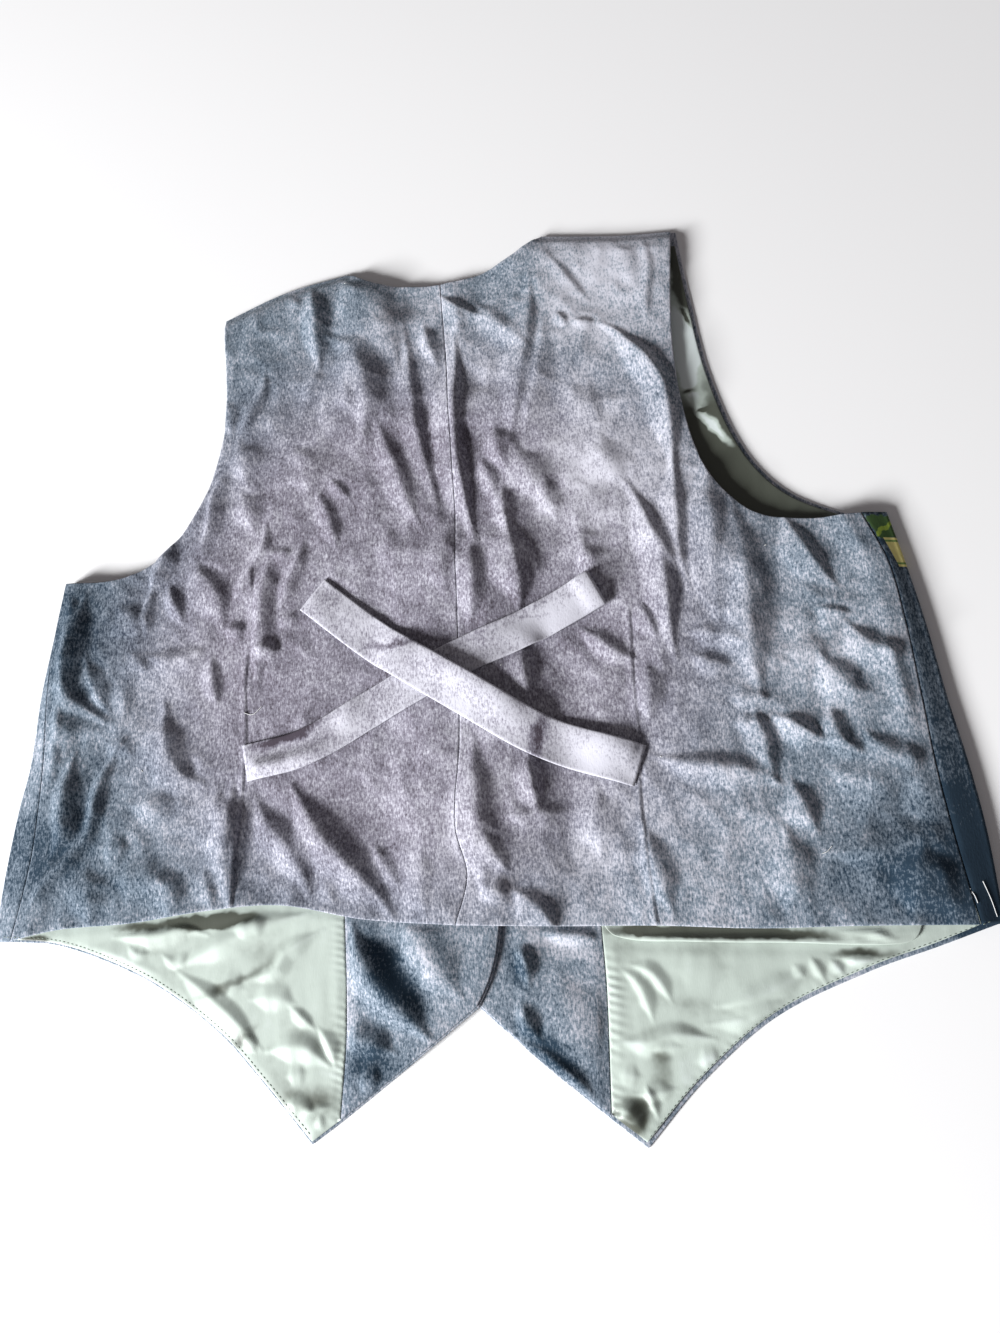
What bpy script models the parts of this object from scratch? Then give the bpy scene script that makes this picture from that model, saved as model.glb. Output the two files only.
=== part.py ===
"""A lined waistcoat laid face down, with its back up and its two tie ends crossed over the back.

The pieces are the ones a maker cuts: two backs joined down the centre, a back lining, two
fronts whose sides turn up to the side seams, a facing and a lining for each front, two ties
and four buttons. Each piece of cloth is a wall with a plan outline, a height for each point
of the plan, and a thickness. Plan sizes are millimetres from the middle of the back hem,
with +X to the right and +Y to the neck.
"""

import math
from collections import namedtuple

import bmesh
import bpy
import numpy as np
from mathutils import Vector
from mathutils.bvhtree import BVHTree
from mathutils.geometry import delaunay_2d_cdt

MM = 0.001
PLAN_CENTRE_Y = 179.5  # from the back hem to the middle of the whole length

# Cloth, millimetres
BACK_CLOTH = 1.5
FRONT_CLOTH = 1.2
FACING_CLOTH = 1.0
LINING_CLOTH = 1.0
TIE_CLOTH = 1.8
SEAM_GAP = 0.3
LAYER_GAP = 0.4

# The height of each layer's underside where nothing lifts it
LEVEL_FRONT = 0.0
LEVEL_FACING = LEVEL_FRONT + FRONT_CLOTH + LAYER_GAP
LEVEL_BACK_LINING = LEVEL_FACING + FACING_CLOTH + LAYER_GAP
LEVEL_BACK = LEVEL_BACK_LINING + LINING_CLOTH + LAYER_GAP

# The fronts meet here, the left one above the right one
OVERLAP_RISE = LEVEL_BACK_LINING
OVERLAP_X = 11.5
OVERLAP_TOP_Y = 237.0
OVERLAP_RAMP = (-52.0, -18.0)
OVERLAP_FALL = (34.0, 76.0)

BUTTON_RADIUS = 7.5
BUTTON_THICK = 2.0
BUTTON_FLOOR = 0.1
BUTTON_SIDES = 20
BUTTON_Y = (205.0, 140.0, 75.0, 10.0)
BUTTON_RISE = BUTTON_FLOOR + BUTTON_THICK + SEAM_GAP

# The fronts turn up at the sides round this radius, measured in the middle of the cloth
TURN_RADIUS = (LEVEL_BACK - LEVEL_FRONT) / 2
TURN_STEPS = 4

FINE = 15.0  # spacing of a wall's inner points where it bends, and twice that where it is flat
EDGE_STEP = 16.0

# Side tables: the seam between back and front, and the fold that makes the silhouette
Side = namedtuple("Side", "y seam fold")
LEFT_SIDE = (
    Side(251, -282, -286),
    Side(210, -288, -292),
    Side(170, -290, -298),
    Side(120, -289, -302),
    Side(90, -290, -308),
    Side(60, -292, -312.5),
    Side(30, -297, -316),
    Side(2, -303, -317.5),
)
RIGHT_SIDE = (
    Side(244, 270, 287),
    Side(210, 282, 293.5),
    Side(170, 287, 300),
    Side(120, 290, 306),
    Side(80, 292, 312),
    Side(40, 296, 316),
    Side(-12, 303, 317.5),
)

# Outlines of the back
BACK_HEM_LEFT = ((-303, 2), (-270, 8), (-220, 10), (-160, 16), (-115, 17), (-60, 6), (0, 0))
BACK_HEM_RIGHT = ((0, 0), (60, -3), (120, -5), (180, -9), (240, -10), (303, -12))
BACK_ARM_RIGHT = (
    (270, 244), (240, 244), (205, 252), (180, 280), (170, 310), (164, 350), (163, 395), (169, 475.5),
)
BACK_ARM_LEFT = (
    (-168.5, 454), (-163.5, 390), (-166, 345), (-181, 301), (-207, 266), (-240, 251), (-282, 251),
)
SHOULDER_RIGHT = ((169, 475.5), (131, 478.5), (76, 487.5))
SHOULDER_LEFT = ((-72, 479), (-121, 471), (-168.5, 454))
NECK_RIGHT = ((76, 487.5), (53.5, 472.5), (29, 461.5), (0, 457))
NECK_LEFT = ((0, 457), (-29, 459.5), (-51, 466), (-72, 479))
CENTRE_SEAM = ((0, 457), (6, 300), (6, 120), (2, 60), (8, 30), (0, 0))

# A row of points just inside the back's shoulder seams, where it comes down to the fronts
SEAM_ROW = 9.0
LEFT_SHOULDER_ROW = ((-76, 469), (-121, 462), (-158, 449))
RIGHT_SHOULDER_ROW = ((160, 467), (131, 469.5), (80, 477.5))

# Outlines of the fronts
LEFT_HEM = (
    (-314.7, 2), (-276, -1.5), (-241, -12), (-201, -30), (-157, -60), (-127, -90), (-95, -125),
)
LEFT_POINT_EDGE = ((-95, -125), (-77, -113), (-40, -86.5), (11, -49))
LEFT_CLOSING = ((11, -49), (20, -32), (26, -10), (29, 30), (30, 120), (30, 205))
LEFT_NECK = ((30, 205), (12, 235), (-14, 265), (-40, 325), (-57, 395), (-72, 479))
LEFT_ARM = (
    (-166.5, 454), (-158, 390), (-160, 345), (-174, 301), (-201, 262), (-236, 246.5), (-282, 251),
)
RIGHT_POINT_EDGE = ((3, -42), (49, -82.5), (87, -113), (107, -128.5))
RIGHT_HEM = ((107, -128.5), (141.5, -93), (186, -59), (241, -35.5), (281, -23), (314.7, -12))
RIGHT_ARM = (
    (284, 244), (266, 246), (227, 268), (203, 302), (186, 360), (178, 420), (172.5, 475.5),
)
RIGHT_CLOSING = ((-7, 205), (-7, 120), (-7, 30), (-3, -10), (3, -42))
RIGHT_NECK = ((76, 487.5), (66, 400), (55, 330), (35, 265), (10, 235), (-7, 205))
RIGHT_SHOULDER = ((172.5, 475.5), (131, 478.5), (76, 487.5))
LEFT_FACING_SEAM = (
    (-116, 471.5), (-106, 400), (-88, 260), (-78, 120), (-74, 0), (-73, -60), (-77, -113),
)
RIGHT_FACING_SEAM = ((87, -113), (89, -40), (88, 0), (86, 120), (92, 260), (106, 400), (118, 479.5))

# The back lining hangs a little below the hem on the right
LINING_HEM_LEFT = ((-296, 20), (-160, 28), (-60, 18), (40, 12), (84, 8))
LINING_HEM_RIGHT = (
    (84, 8), (96, -10), (140, -15), (200, -18), (250, -21), (268, -18), (280, 4), (297, 6),
)
LINING_SIDE_RIGHT = ((297, 6), (286, 120), (280, 200), (264, 236))
LINING_SHOULDER_RIGHT = ((164, 458), (130, 461), (82, 470))
LINING_NECK = ((82, 470), (60, 461), (30, 450), (0, 445), (-30, 448), (-60, 454), (-78, 462))
LINING_SHOULDER_LEFT = ((-78, 462), (-120, 453), (-162, 438))
LINING_SIDE_LEFT = ((-275, 244), (-284, 170), (-284, 80), (-296, 20))

# Insets of an inner layer's edge from the edge of the cloth below it
SHOULDER_INSET = 12.0
ARM_INSET = 4.0
NECK_INSET = 2.0
CLOSING_INSET = 1.2
LEFT_HEM_INSET = 1.5
RIGHT_HEM_INSET = 2.6
SIDE_INSET = 3.0

# Folds: a ridge has a positive height and a trough a negative one. The two widths are to the
# left and to the right of the path, and a fold fades out towards its two ends.
Fold = namedtuple("Fold", "path left right height")
FLOOR_SOFTNESS = 2.5  # how sharply the deepest troughs flatten out on the layer below
BACK_REST = 2.2
BACK_FOLDS = (
    # Upper left
    Fold(((-96, 470), (-87, 440), (-87, 398)), 9, 9, -3.4),
    Fold(((-100, 465), (-98, 380)), 9, 8, 1.6),
    Fold(((-78, 422), (-55, 402), (-48, 375), (-52, 342)), 9, 10, -3.4),
    Fold(((-133, 395), (-155, 340)), 12, 12, 1.6),
    Fold(((-170, 315), (-190, 262), (-212, 243)), 9, 9, -1.8),
    Fold(((-158, 318), (-173, 292), (-195, 258)), 8, 8, 1.4),
    # Centre
    Fold(((-3, 425), (-2, 340), (6, 285), (17, 252)), 12, 12, 4.4),
    Fold(((-27, 430), (-20, 385), (-14, 330), (2, 258)), 11, 9, -2.2),
    Fold(((20, 400), (28, 345), (28, 320)), 10, 14, -2.2),
    Fold(((20, 318), (27, 285), (38, 205)), 10, 10, 2.4),
    Fold(((47, 245), (57, 215), (52, 200)), 8, 10, -2.6),
    Fold(((45, 330), (46, 308), (75, 275)), 9, 9, -1.8),
    Fold(((68, 425), (61, 380), (50, 330)), 12, 11, 1.6),
    # Right of the centre
    Fold(((115, 402), (148, 368), (162, 325), (158, 260), (153, 222)), 9, 9, -4.2),
    Fold(((128, 275), (143, 235), (146, 180), (148, 155)), 9, 9, -2.6),
    Fold(((140, 320), (146, 280), (150, 222)), 8, 8, 1.6),
    Fold(((165, 320), (170, 240), (171, 170)), 9, 9, 3.0),
    Fold(((178, 290), (187, 245), (201, 200), (206, 128)), 12, 8, -3.4),
    Fold(((196, 290), (212, 225), (218, 140)), 9, 13, 1.6),
    Fold(((135, 100), (170, 90), (204, 80)), 9, 9, -2.2),
    Fold(((130, 116), (200, 108)), 10, 10, 1.8),
    Fold(((212, 120), (237, 100)), 9, 9, -2.2),
    # Far right
    Fold(((230, 242), (241, 220), (253, 196)), 9, 9, -2.4),
    Fold(((240, 158), (262, 134)), 11, 11, -2.2),
    Fold(((230, 90), (268, 72)), 12, 12, -2.4),
    Fold(((212, 42), (262, 50), (294, 50)), 8, 9, 1.8),
    Fold(((225, 22), (262, 24), (292, 22)), 14, 14, -2.2),
    Fold(((120, 48), (130, 5)), 10, 10, -1.6),
    # Left
    Fold(((-262, 232), (-268, 190), (-258, 158), (-240, 140)), 12, 11, -3.0),
    Fold(((-240, 205), (-240, 165)), 20, 20, 2.4),
    Fold(((-297, 14), (-272, 46), (-245, 78), (-234, 115), (-215, 152)), 9, 9, 2.6),
    Fold(((-264, 122), (-273, 45)), 10, 10, -2.4),
    Fold(((-197, 152), (-178, 104)), 11, 11, -2.8),
    Fold(((-175, 258), (-155, 222)), 9, 9, -1.6),
    Fold(((-215, 180), (-165, 180)), 11, 11, 1.6),
    # Below the ties
    Fold(((-140, 95), (-145, 50), (-143, 26)), 9, 9, -1.8),
    Fold(((-124, 97), (-90, 55), (-52, 12)), 10, 9, 3.2),
    Fold(((-102, 92), (-72, 58), (-38, 20)), 9, 11, -3.4),
    Fold(((8, 118), (4, 60), (14, 18)), 10, 10, 2.2),
    Fold(((54, 108), (58, 60)), 9, 9, -2.0),
    Fold(((20, 52), (33, 34)), 9, 9, -2.0),
    # The hem stands up a little over the left lining
    Fold(((-222, 6), (-170, 12), (-112, 14)), 15, 15, 2.6),
)

LEFT_LINING_REST = 0.5
LEFT_LINING_FOLDS = (
    Fold(((-182, -25), (-150, -8), (-97, 6)), 9, 9, 2.6),
    Fold(((-192, -34), (-158, -46), (-122, -66)), 9, 9, 1.6),
    Fold(((-122, -68), (-84, -80)), 9, 9, -0.8),
    Fold(((-118, -92), (-84, -98)), 8, 8, 1.4),
    Fold(((-225, -4), (-200, -12)), 8, 8, 1.2),
)
RIGHT_LINING_REST = 0.5
RIGHT_LINING_FOLDS = (
    Fold(((96, -50), (125, -52), (165, -50), (205, -36)), 9, 9, 1.8),
    Fold(((100, -76), (128, -84)), 9, 9, 1.6),
    Fold(((205, -30), (250, -26)), 8, 8, 1.2),
)
LEFT_FACING_REST = 0.8
LEFT_FACING_FOLDS = (
    Fold(((-60, 0), (-50, -20), (-30, -42), (-10, -60)), 10, 10, -0.8),
    Fold(((-66, -30), (-52, -52), (-30, -74)), 10, 10, 2.4),
    Fold(((-40, -8), (-18, -30), (2, -42)), 10, 10, 2.2),
)
RIGHT_FACING_REST = 0.6
RIGHT_FACING_FOLDS = (
    Fold(((58, -18), (62, -50), (76, -84)), 10, 10, 2.2),
    Fold(((32, -20), (44, -48)), 9, 9, -0.6),
)

# Ties: the middle line from the root in the dart to the free end
Tie = namedtuple("Tie", "name path width")
TIES = (
    Tie("tie_left", ((-141, 110), (-100, 118), (-50, 142), (10, 170), (50, 185), (100, 209)), 25.0),
    Tie("tie_right", ((119, 91), (60, 113), (10, 145), (-20, 165), (-50, 186), (-95, 224)), 27.0),
)
TIE_STEP = 9.0
TIE_CLEAR = 0.5
TIE_REACH = 12.0

Paint = namedtuple("Paint", "colour roughness metallic")
WOOL = Paint((0.155, 0.155, 0.185), 0.95, 0.0)
WOOL_FRONT = Paint((0.020, 0.045, 0.050), 0.95, 0.0)
WOOL_FACING = Paint((0.130, 0.165, 0.230), 0.95, 0.0)
SATIN = Paint((0.520, 0.620, 0.520), 0.35, 0.0)
HORN = Paint((0.020, 0.020, 0.022), 0.35, 0.0)


def smooth(t):
    """0 below 0, 1 above 1, and a soft S between."""
    t = np.clip(t, 0.0, 1.0)
    return t * t * (3 - 2 * t)


def curve(points, step):
    """Points about step apart on a smooth curve through the given ones, both ends included."""
    given = np.array(points, float)
    if len(given) == 2:
        fine = given
    else:
        ends = (2 * given[0] - given[1], 2 * given[-1] - given[-2])
        p = np.vstack([ends[0], given, ends[1]])
        t = np.linspace(0, 1, 24, endpoint=False)[:, None]
        spans = []
        for a, b, c, d in zip(p[:-3], p[1:-2], p[2:-1], p[3:]):
            reach = np.linalg.norm(c - b)
            into = reach * (c - a) / (np.linalg.norm(b - a) + reach)
            out = reach * (d - b) / (np.linalg.norm(d - c) + reach)
            spans.append(
                b * (1 - t) ** 2 * (1 + 2 * t)
                + c * t * t * (3 - 2 * t)
                + into * t * (1 - t) ** 2
                - out * t * t * (1 - t)
            )
        fine = np.vstack(spans + [given[-1:]])
    along = np.concatenate([[0], np.cumsum(np.linalg.norm(np.diff(fine, axis=0), axis=1))])
    count = max(2, round(along[-1] / step) + 1)
    at = np.linspace(0, along[-1], count)
    return np.stack([np.interp(at, along, fine[:, k]) for k in range(2)], axis=1)


def outline(*runs):
    """A closed outline, anticlockwise, from (points, inset) runs that meet end to end."""
    spots, insets = [], []
    for points, inset in runs:
        sampled = points if isinstance(points, np.ndarray) else curve(points, EDGE_STEP)
        sampled = sampled[:-1]
        spots.append(sampled)
        insets += [inset] * len(sampled)
    spots, insets = np.vstack(spots), np.array(insets, float)
    edge = np.roll(spots, -1, axis=0) - spots
    normal = np.stack([-edge[:, 1], edge[:, 0]], axis=1) / np.linalg.norm(edge, axis=1)[:, None]
    moved = []
    for k in range(len(spots)):
        pair = np.array([normal[k - 1], normal[k]])
        want = np.array([insets[k - 1], insets[k]])
        if abs(np.linalg.det(pair)) > 0.25:
            shift = np.linalg.solve(pair, want)
        else:
            shift = (pair * want[:, None]).mean(axis=0)
        moved.append(spots[k] + shift)
    return np.array(moved)


def to_segments(points, path):
    """For each point: how far along the path its nearest spot is, the side it lies on, and how far."""
    points, path = np.asarray(points, float), np.asarray(path, float)
    lengths = np.linalg.norm(np.diff(path, axis=0), axis=1)
    starts = np.concatenate([[0], np.cumsum(lengths)])
    best = np.full(len(points), np.inf)
    along = np.zeros(len(points))
    side = np.zeros(len(points))
    for a, b, start, length in zip(path[:-1], path[1:], starts, lengths):
        run = (b - a) / length
        local = points - a
        s = np.clip(local @ run, 0, length)
        away = np.linalg.norm(local - s[:, None] * run, axis=1)
        nearer = away < best
        best = np.where(nearer, away, best)
        along = np.where(nearer, start + s, along)
        side = np.where(nearer, run[0] * local[:, 1] - run[1] * local[:, 0], side)
    return along, side, best, starts[-1]


def folds(points, table, rest):
    """The height of the cloth over its flat level: the rest height with each fold added."""
    height = np.full(len(points), float(rest))
    for fold in table:
        along, side, away, length = to_segments(points, curve(fold.path, 6.0))
        width = np.where(side > 0, fold.left, fold.right)
        ends = smooth(along / (0.3 * length)) * smooth((length - along) / (0.3 * length))
        height += fold.height * np.exp(-((away / width) ** 2)) * (0.25 + 0.75 * ends)
    return np.logaddexp(0, FLOOR_SOFTNESS * height) / FLOOR_SOFTNESS


def closing_rise(points, over_both):
    """The lift over the buttons and, for the layers above it, over the right front's edge."""
    x, y = points[:, 0], points[:, 1]
    band = 1 - smooth((np.abs(x - OVERLAP_X) - 12) / 48)
    span = smooth((y + 68) / 48) * (1 - smooth((y - 222) / 50))
    buttons = BUTTON_RISE * band * span
    if not over_both:
        return buttons
    start, stop = OVERLAP_RAMP
    upper_end = 1 - smooth((y - OVERLAP_TOP_Y) / 45)
    return buttons + OVERLAP_RISE * smooth((x - start) / (stop - start)) * upper_end


def neck_drop(points):
    """How far the back sinks between the fronts' neck edges, where no front lies under it."""
    x, y = points[:, 0], points[:, 1]
    left = np.array(LEFT_NECK, float)
    right = np.array(RIGHT_NECK, float)[::-1]
    inside = np.minimum(
        x - np.interp(y, left[:, 1], left[:, 0]), np.interp(y, right[:, 1], right[:, 0]) - x
    )
    return (LEVEL_BACK_LINING - LAYER_GAP) * smooth(inside / 45) * smooth((y - 240) / 30)


def over_fronts(points):
    """The lift of the back and its lining over the closing, less their sag at the neck."""
    start, stop = OVERLAP_FALL
    both, one = closing_rise(points, True), closing_rise(points, False)
    fall = 1 - smooth((points[:, 0] - start) / (stop - start))
    return one + (both - one) * fall - neck_drop(points)


def side_at(table, column, y):
    rows = sorted(table, key=lambda row: row.y)
    line = curve([(getattr(row, column), row.y) for row in rows], 4.0)
    return np.interp(y, line[:, 1], line[:, 0])


def side_run(table, column, outward, inset, upward):
    """A side of an outline, at the heights that both panels share there, moved inward by inset."""
    ends = [row.y for row in table]
    count = round((max(ends) - min(ends)) / EDGE_STEP) + 1
    y = np.linspace(min(ends), max(ends), count)
    run = np.stack([side_at(table, column, y) - outward * inset, y], axis=1)
    return run if upward else run[::-1]


def back_height(points):
    x, y = points[:, 0], points[:, 1]
    to_shoulder = np.minimum(
        to_segments(points, SHOULDER_LEFT)[2], to_segments(points, SHOULDER_RIGHT)[2]
    )
    to_side = np.minimum(
        x - side_at(LEFT_SIDE, "seam", y), side_at(RIGHT_SIDE, "seam", y) - x
    )
    free = smooth(to_side / 18) * smooth(to_shoulder / 22)
    shoulder = (LEVEL_BACK - LEVEL_FACING) * (1 - smooth(to_shoulder / SEAM_ROW))
    level = np.minimum(over_fronts(points), -shoulder)
    level = np.where(to_shoulder < SEAM_ROW, level, over_fronts(points))
    return LEVEL_BACK + level + free * folds(points, BACK_FOLDS, BACK_REST)


def hem_at(x):
    hem = np.array(BACK_HEM_LEFT + BACK_HEM_RIGHT[1:], float)
    return np.interp(x, hem[:, 0], hem[:, 1])


def below_hem(points, table, rest, edges):
    """Folds of an inner layer where it shows below the back's hem, flat at its edges."""
    shown = smooth((hem_at(points[:, 0]) - 1 - points[:, 1]) / 12)
    away = np.min([to_segments(points, curve(edge, 12.0))[2] for edge in edges], axis=0)
    return shown * smooth(away / 9) * folds(points, table, rest)


def lattice(edge, fine, taken):
    """Inner points of a plan: a triangular grid, with only each second row and column where it may be coarse.

    It keeps clear of the edge and of the points already taken.
    """
    low, high = edge.min(axis=0), edge.max(axis=0)
    row_step = FINE * math.sqrt(3) / 2
    found = []
    for j in range(math.floor(low[1] / row_step), math.ceil(high[1] / row_step) + 1):
        for i in range(math.floor(low[0] / FINE) - 1, math.ceil(high[0] / FINE) + 1):
            spot = (FINE * (i + 0.5 * (j % 2)), row_step * j)
            on_coarse = j % 2 == 0 and (i + j // 2) % 2 == 0
            found.append((*spot, on_coarse))
    found = np.array(found)
    spots = found[:, :2]
    keep = (found[:, 2] > 0) | fine(spots)
    spots = spots[keep]
    ring = np.vstack([edge, edge[:1]])
    inside = np.zeros(len(spots), bool)
    for a, b in zip(ring[:-1], ring[1:]):
        crosses = (a[1] > spots[:, 1]) != (b[1] > spots[:, 1])
        rise = b[1] - a[1] if b[1] != a[1] else 1e-9
        inside ^= crosses & (spots[:, 0] < a[0] + (spots[:, 1] - a[1]) * (b[0] - a[0]) / rise)
    clear = inside & (to_segments(spots, ring)[2] > 0.5 * FINE)
    for spot in taken:
        clear &= np.linalg.norm(spots - spot, axis=1) > 0.6 * FINE
    return spots[clear]


def material(name, paint):
    made = bpy.data.materials.new(name)
    made.use_nodes = True
    shader = made.node_tree.nodes["Principled BSDF"]
    shader.inputs["Base Color"].default_value = (*paint.colour, 1.0)
    shader.inputs["Roughness"].default_value = paint.roughness
    shader.inputs["Metallic"].default_value = paint.metallic
    return made


def place(spot):
    return (spot[0] * MM, (spot[1] - PLAN_CENTRE_Y) * MM, spot[2] * MM)


def finish(name, shape, paint):
    """Turns a bmesh into an object of its own, with its faces outward and shaded smooth."""
    bmesh.ops.recalc_face_normals(shape, faces=shape.faces)
    mesh = bpy.data.meshes.new(name)
    shape.to_mesh(mesh)
    shape.free()
    mesh.shade_smooth()
    mesh.set_sharp_from_angle(angle=math.radians(50))
    mesh.materials.append(material(name, paint))
    made = bpy.data.objects.new(name, mesh)
    bpy.context.scene.collection.objects.link(made)
    return made


def turned_edge(shape, table, outward, spots, lows, highs, thick):
    """Carries a side of a wall up round its fold and inward to the side seam."""
    middle = LEVEL_FRONT + thick / 2 + TURN_RADIUS
    rows = []
    for spot, low, high in zip(spots, lows, highs):
        y = spot[1]
        outer, inner = [low], [high]
        for k in range(1, TURN_STEPS + 1):
            angle = math.pi * (k / TURN_STEPS - 0.5)
            for ring, radius in ((outer, TURN_RADIUS + thick / 2), (inner, TURN_RADIUS - thick / 2)):
                x = spot[0] + outward * radius * math.cos(angle)
                ring.append(shape.verts.new(place((x, y, middle + radius * math.sin(angle)))))
        seam = side_at(table, "seam", y) + outward * SEAM_GAP / 2
        outer.append(shape.verts.new(place((seam, y, middle + TURN_RADIUS + thick / 2))))
        inner.append(shape.verts.new(place((seam, y, middle + TURN_RADIUS - thick / 2))))
        rows.append((outer, inner))
    for (outer, inner), (next_outer, next_inner) in zip(rows[:-1], rows[1:]):
        for k in range(len(outer) - 1):
            shape.faces.new((outer[k], next_outer[k], next_outer[k + 1], outer[k + 1]))
            shape.faces.new((inner[k + 1], next_inner[k + 1], next_inner[k], inner[k]))
        shape.faces.new((outer[-1], next_outer[-1], next_inner[-1], inner[-1]))
    for outer, inner in (rows[0], rows[-1]):
        for k in range(len(outer) - 1):
            shape.faces.new((outer[k], outer[k + 1], inner[k + 1], inner[k]))


def wall(name, edge, height, thick, paint, fine=None, side=None, rows=()):
    """A closed wall of cloth: a plan outline with an underside height and a thickness.

    side is (table, outward) where the outline's edge along that side's fold turns up, and
    rows are curves inside the outline that get points of their own.
    """
    fine = fine or (lambda spots: np.ones(len(spots), bool))
    taken = [
        spot for row in rows for spot in (row if isinstance(row, np.ndarray) else curve(row, EDGE_STEP))
    ]
    spots = np.vstack([edge, *([taken] if taken else []), lattice(edge, fine, taken)])
    count = len(edge)
    ring = [(k, (k + 1) % count) for k in range(count)]
    plan, _, faces, origin, _, _ = delaunay_2d_cdt([Vector(s) for s in spots], ring, [], 1, 1e-4)
    plan = np.array([tuple(p) for p in plan])
    under = height(plan)
    shape = bmesh.new()
    low = [shape.verts.new(place((*p, z))) for p, z in zip(plan, under)]
    high = [shape.verts.new(place((*p, z + thick))) for p, z in zip(plan, under)]
    for a, b, c in faces:
        shape.faces.new((high[a], high[b], high[c]))
        shape.faces.new((low[c], low[b], low[a]))
    where = {old: new for new, olds in enumerate(origin) for old in olds}
    turned = set()
    if side:
        table, outward = side
        start = side_at(table, "fold", spots[:count, 1]) - outward * (TURN_RADIUS + thick / 2)
        ys = [row.y for row in table]
        on_fold = np.abs(spots[:count, 0] - start) < 2.0
        on_fold &= (spots[:count, 1] < max(ys) + 0.1) & (spots[:count, 1] > min(ys) - 0.1)
        turned = set(np.flatnonzero(on_fold))
        run = sorted(turned, key=lambda k: spots[k, 1])
        turned_edge(
            shape, table, outward, spots[run],
            [low[where[k]] for k in run], [high[where[k]] for k in run], thick,
        )
    for a, b in ring:
        if a in turned and b in turned:
            continue
        a, b = where[a], where[b]
        shape.faces.new((low[a], low[b], high[b], high[a]))
    return finish(name, shape, paint)


def build_back():
    seam = SEAM_GAP / 2
    left = outline(
        (BACK_HEM_LEFT, 0), (CENTRE_SEAM[::-1], seam), (NECK_LEFT, 0), (SHOULDER_LEFT, 0),
        (BACK_ARM_LEFT, 0), (side_run(LEFT_SIDE, "seam", -1, 0, False), seam),
    )
    right = outline(
        (BACK_HEM_RIGHT, 0), (side_run(RIGHT_SIDE, "seam", 1, 0, True), seam), (BACK_ARM_RIGHT, 0),
        (SHOULDER_RIGHT, 0), (NECK_RIGHT, 0), (CENTRE_SEAM, seam),
    )
    left_rows = (LEFT_SHOULDER_ROW, side_run(LEFT_SIDE, "seam", -1, SEAM_ROW, True)[1:-1])
    right_rows = (RIGHT_SHOULDER_ROW, side_run(RIGHT_SIDE, "seam", 1, SEAM_ROW, True)[1:-1])
    return [
        wall("back_left", left, back_height, BACK_CLOTH, WOOL, rows=left_rows),
        wall("back_right", right, back_height, BACK_CLOTH, WOOL, rows=right_rows),
    ]


def near_closing(spots):
    return (np.abs(spots[:, 0] - OVERLAP_X) < 72) & (spots[:, 1] < 290)


def shows_below(spots):
    return near_closing(spots) | (spots[:, 1] < hem_at(spots[:, 0]) + FINE)


def build_back_lining():
    arm_right = (LINING_SIDE_RIGHT[-1],) + BACK_ARM_RIGHT[1:-1] + (LINING_SHOULDER_RIGHT[0],)
    arm_left = (LINING_SHOULDER_LEFT[-1],) + BACK_ARM_LEFT[1:-1] + (LINING_SIDE_LEFT[0],)
    edge = outline(
        (LINING_HEM_LEFT, 0), (LINING_HEM_RIGHT, 0), (LINING_SIDE_RIGHT, 0), (arm_right, ARM_INSET),
        (LINING_SHOULDER_RIGHT, 0), (LINING_NECK, 0), (LINING_SHOULDER_LEFT, 0),
        (arm_left, ARM_INSET), (LINING_SIDE_LEFT, 0),
    )

    def height(points):
        return LEVEL_BACK_LINING + over_fronts(points)

    def fine(spots):
        return near_closing(spots) | (neck_drop(spots) > 0)

    wall("back_lining", edge, height, LINING_CLOTH, SATIN, fine)


def build_fronts():
    turn = TURN_RADIUS + FRONT_CLOTH / 2
    left_side = side_run(LEFT_SIDE, "fold", -1, turn, False)
    right_side = side_run(RIGHT_SIDE, "fold", 1, turn, True)
    left_end, right_end = tuple(left_side[-1]), tuple(right_side[0])
    left_top, right_top = tuple(left_side[0]), tuple(right_side[-1])
    left = outline(
        ((left_end,) + LEFT_HEM[1:], 0), (LEFT_POINT_EDGE, 0), (LEFT_CLOSING, 0), (LEFT_NECK, 0),
        (SHOULDER_LEFT[:-1] + (LEFT_ARM[0],), 0), (LEFT_ARM[:-1] + (left_top,), 0), (left_side, 0),
    )
    right = outline(
        (RIGHT_POINT_EDGE, 0), (RIGHT_HEM[:-1] + (right_end,), 0), (right_side, 0),
        ((right_top,) + RIGHT_ARM[1:], 0), (RIGHT_SHOULDER, 0), (RIGHT_NECK, 0), (RIGHT_CLOSING, 0),
    )

    def left_height(points):
        return LEVEL_FRONT + closing_rise(points, True)

    def right_height(points):
        return LEVEL_FRONT + closing_rise(points, False)

    wall("front_left", left, left_height, FRONT_CLOTH, WOOL_FRONT, near_closing, (LEFT_SIDE, -1))
    wall("front_right", right, right_height, FRONT_CLOTH, WOOL_FRONT, near_closing, (RIGHT_SIDE, 1))


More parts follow.
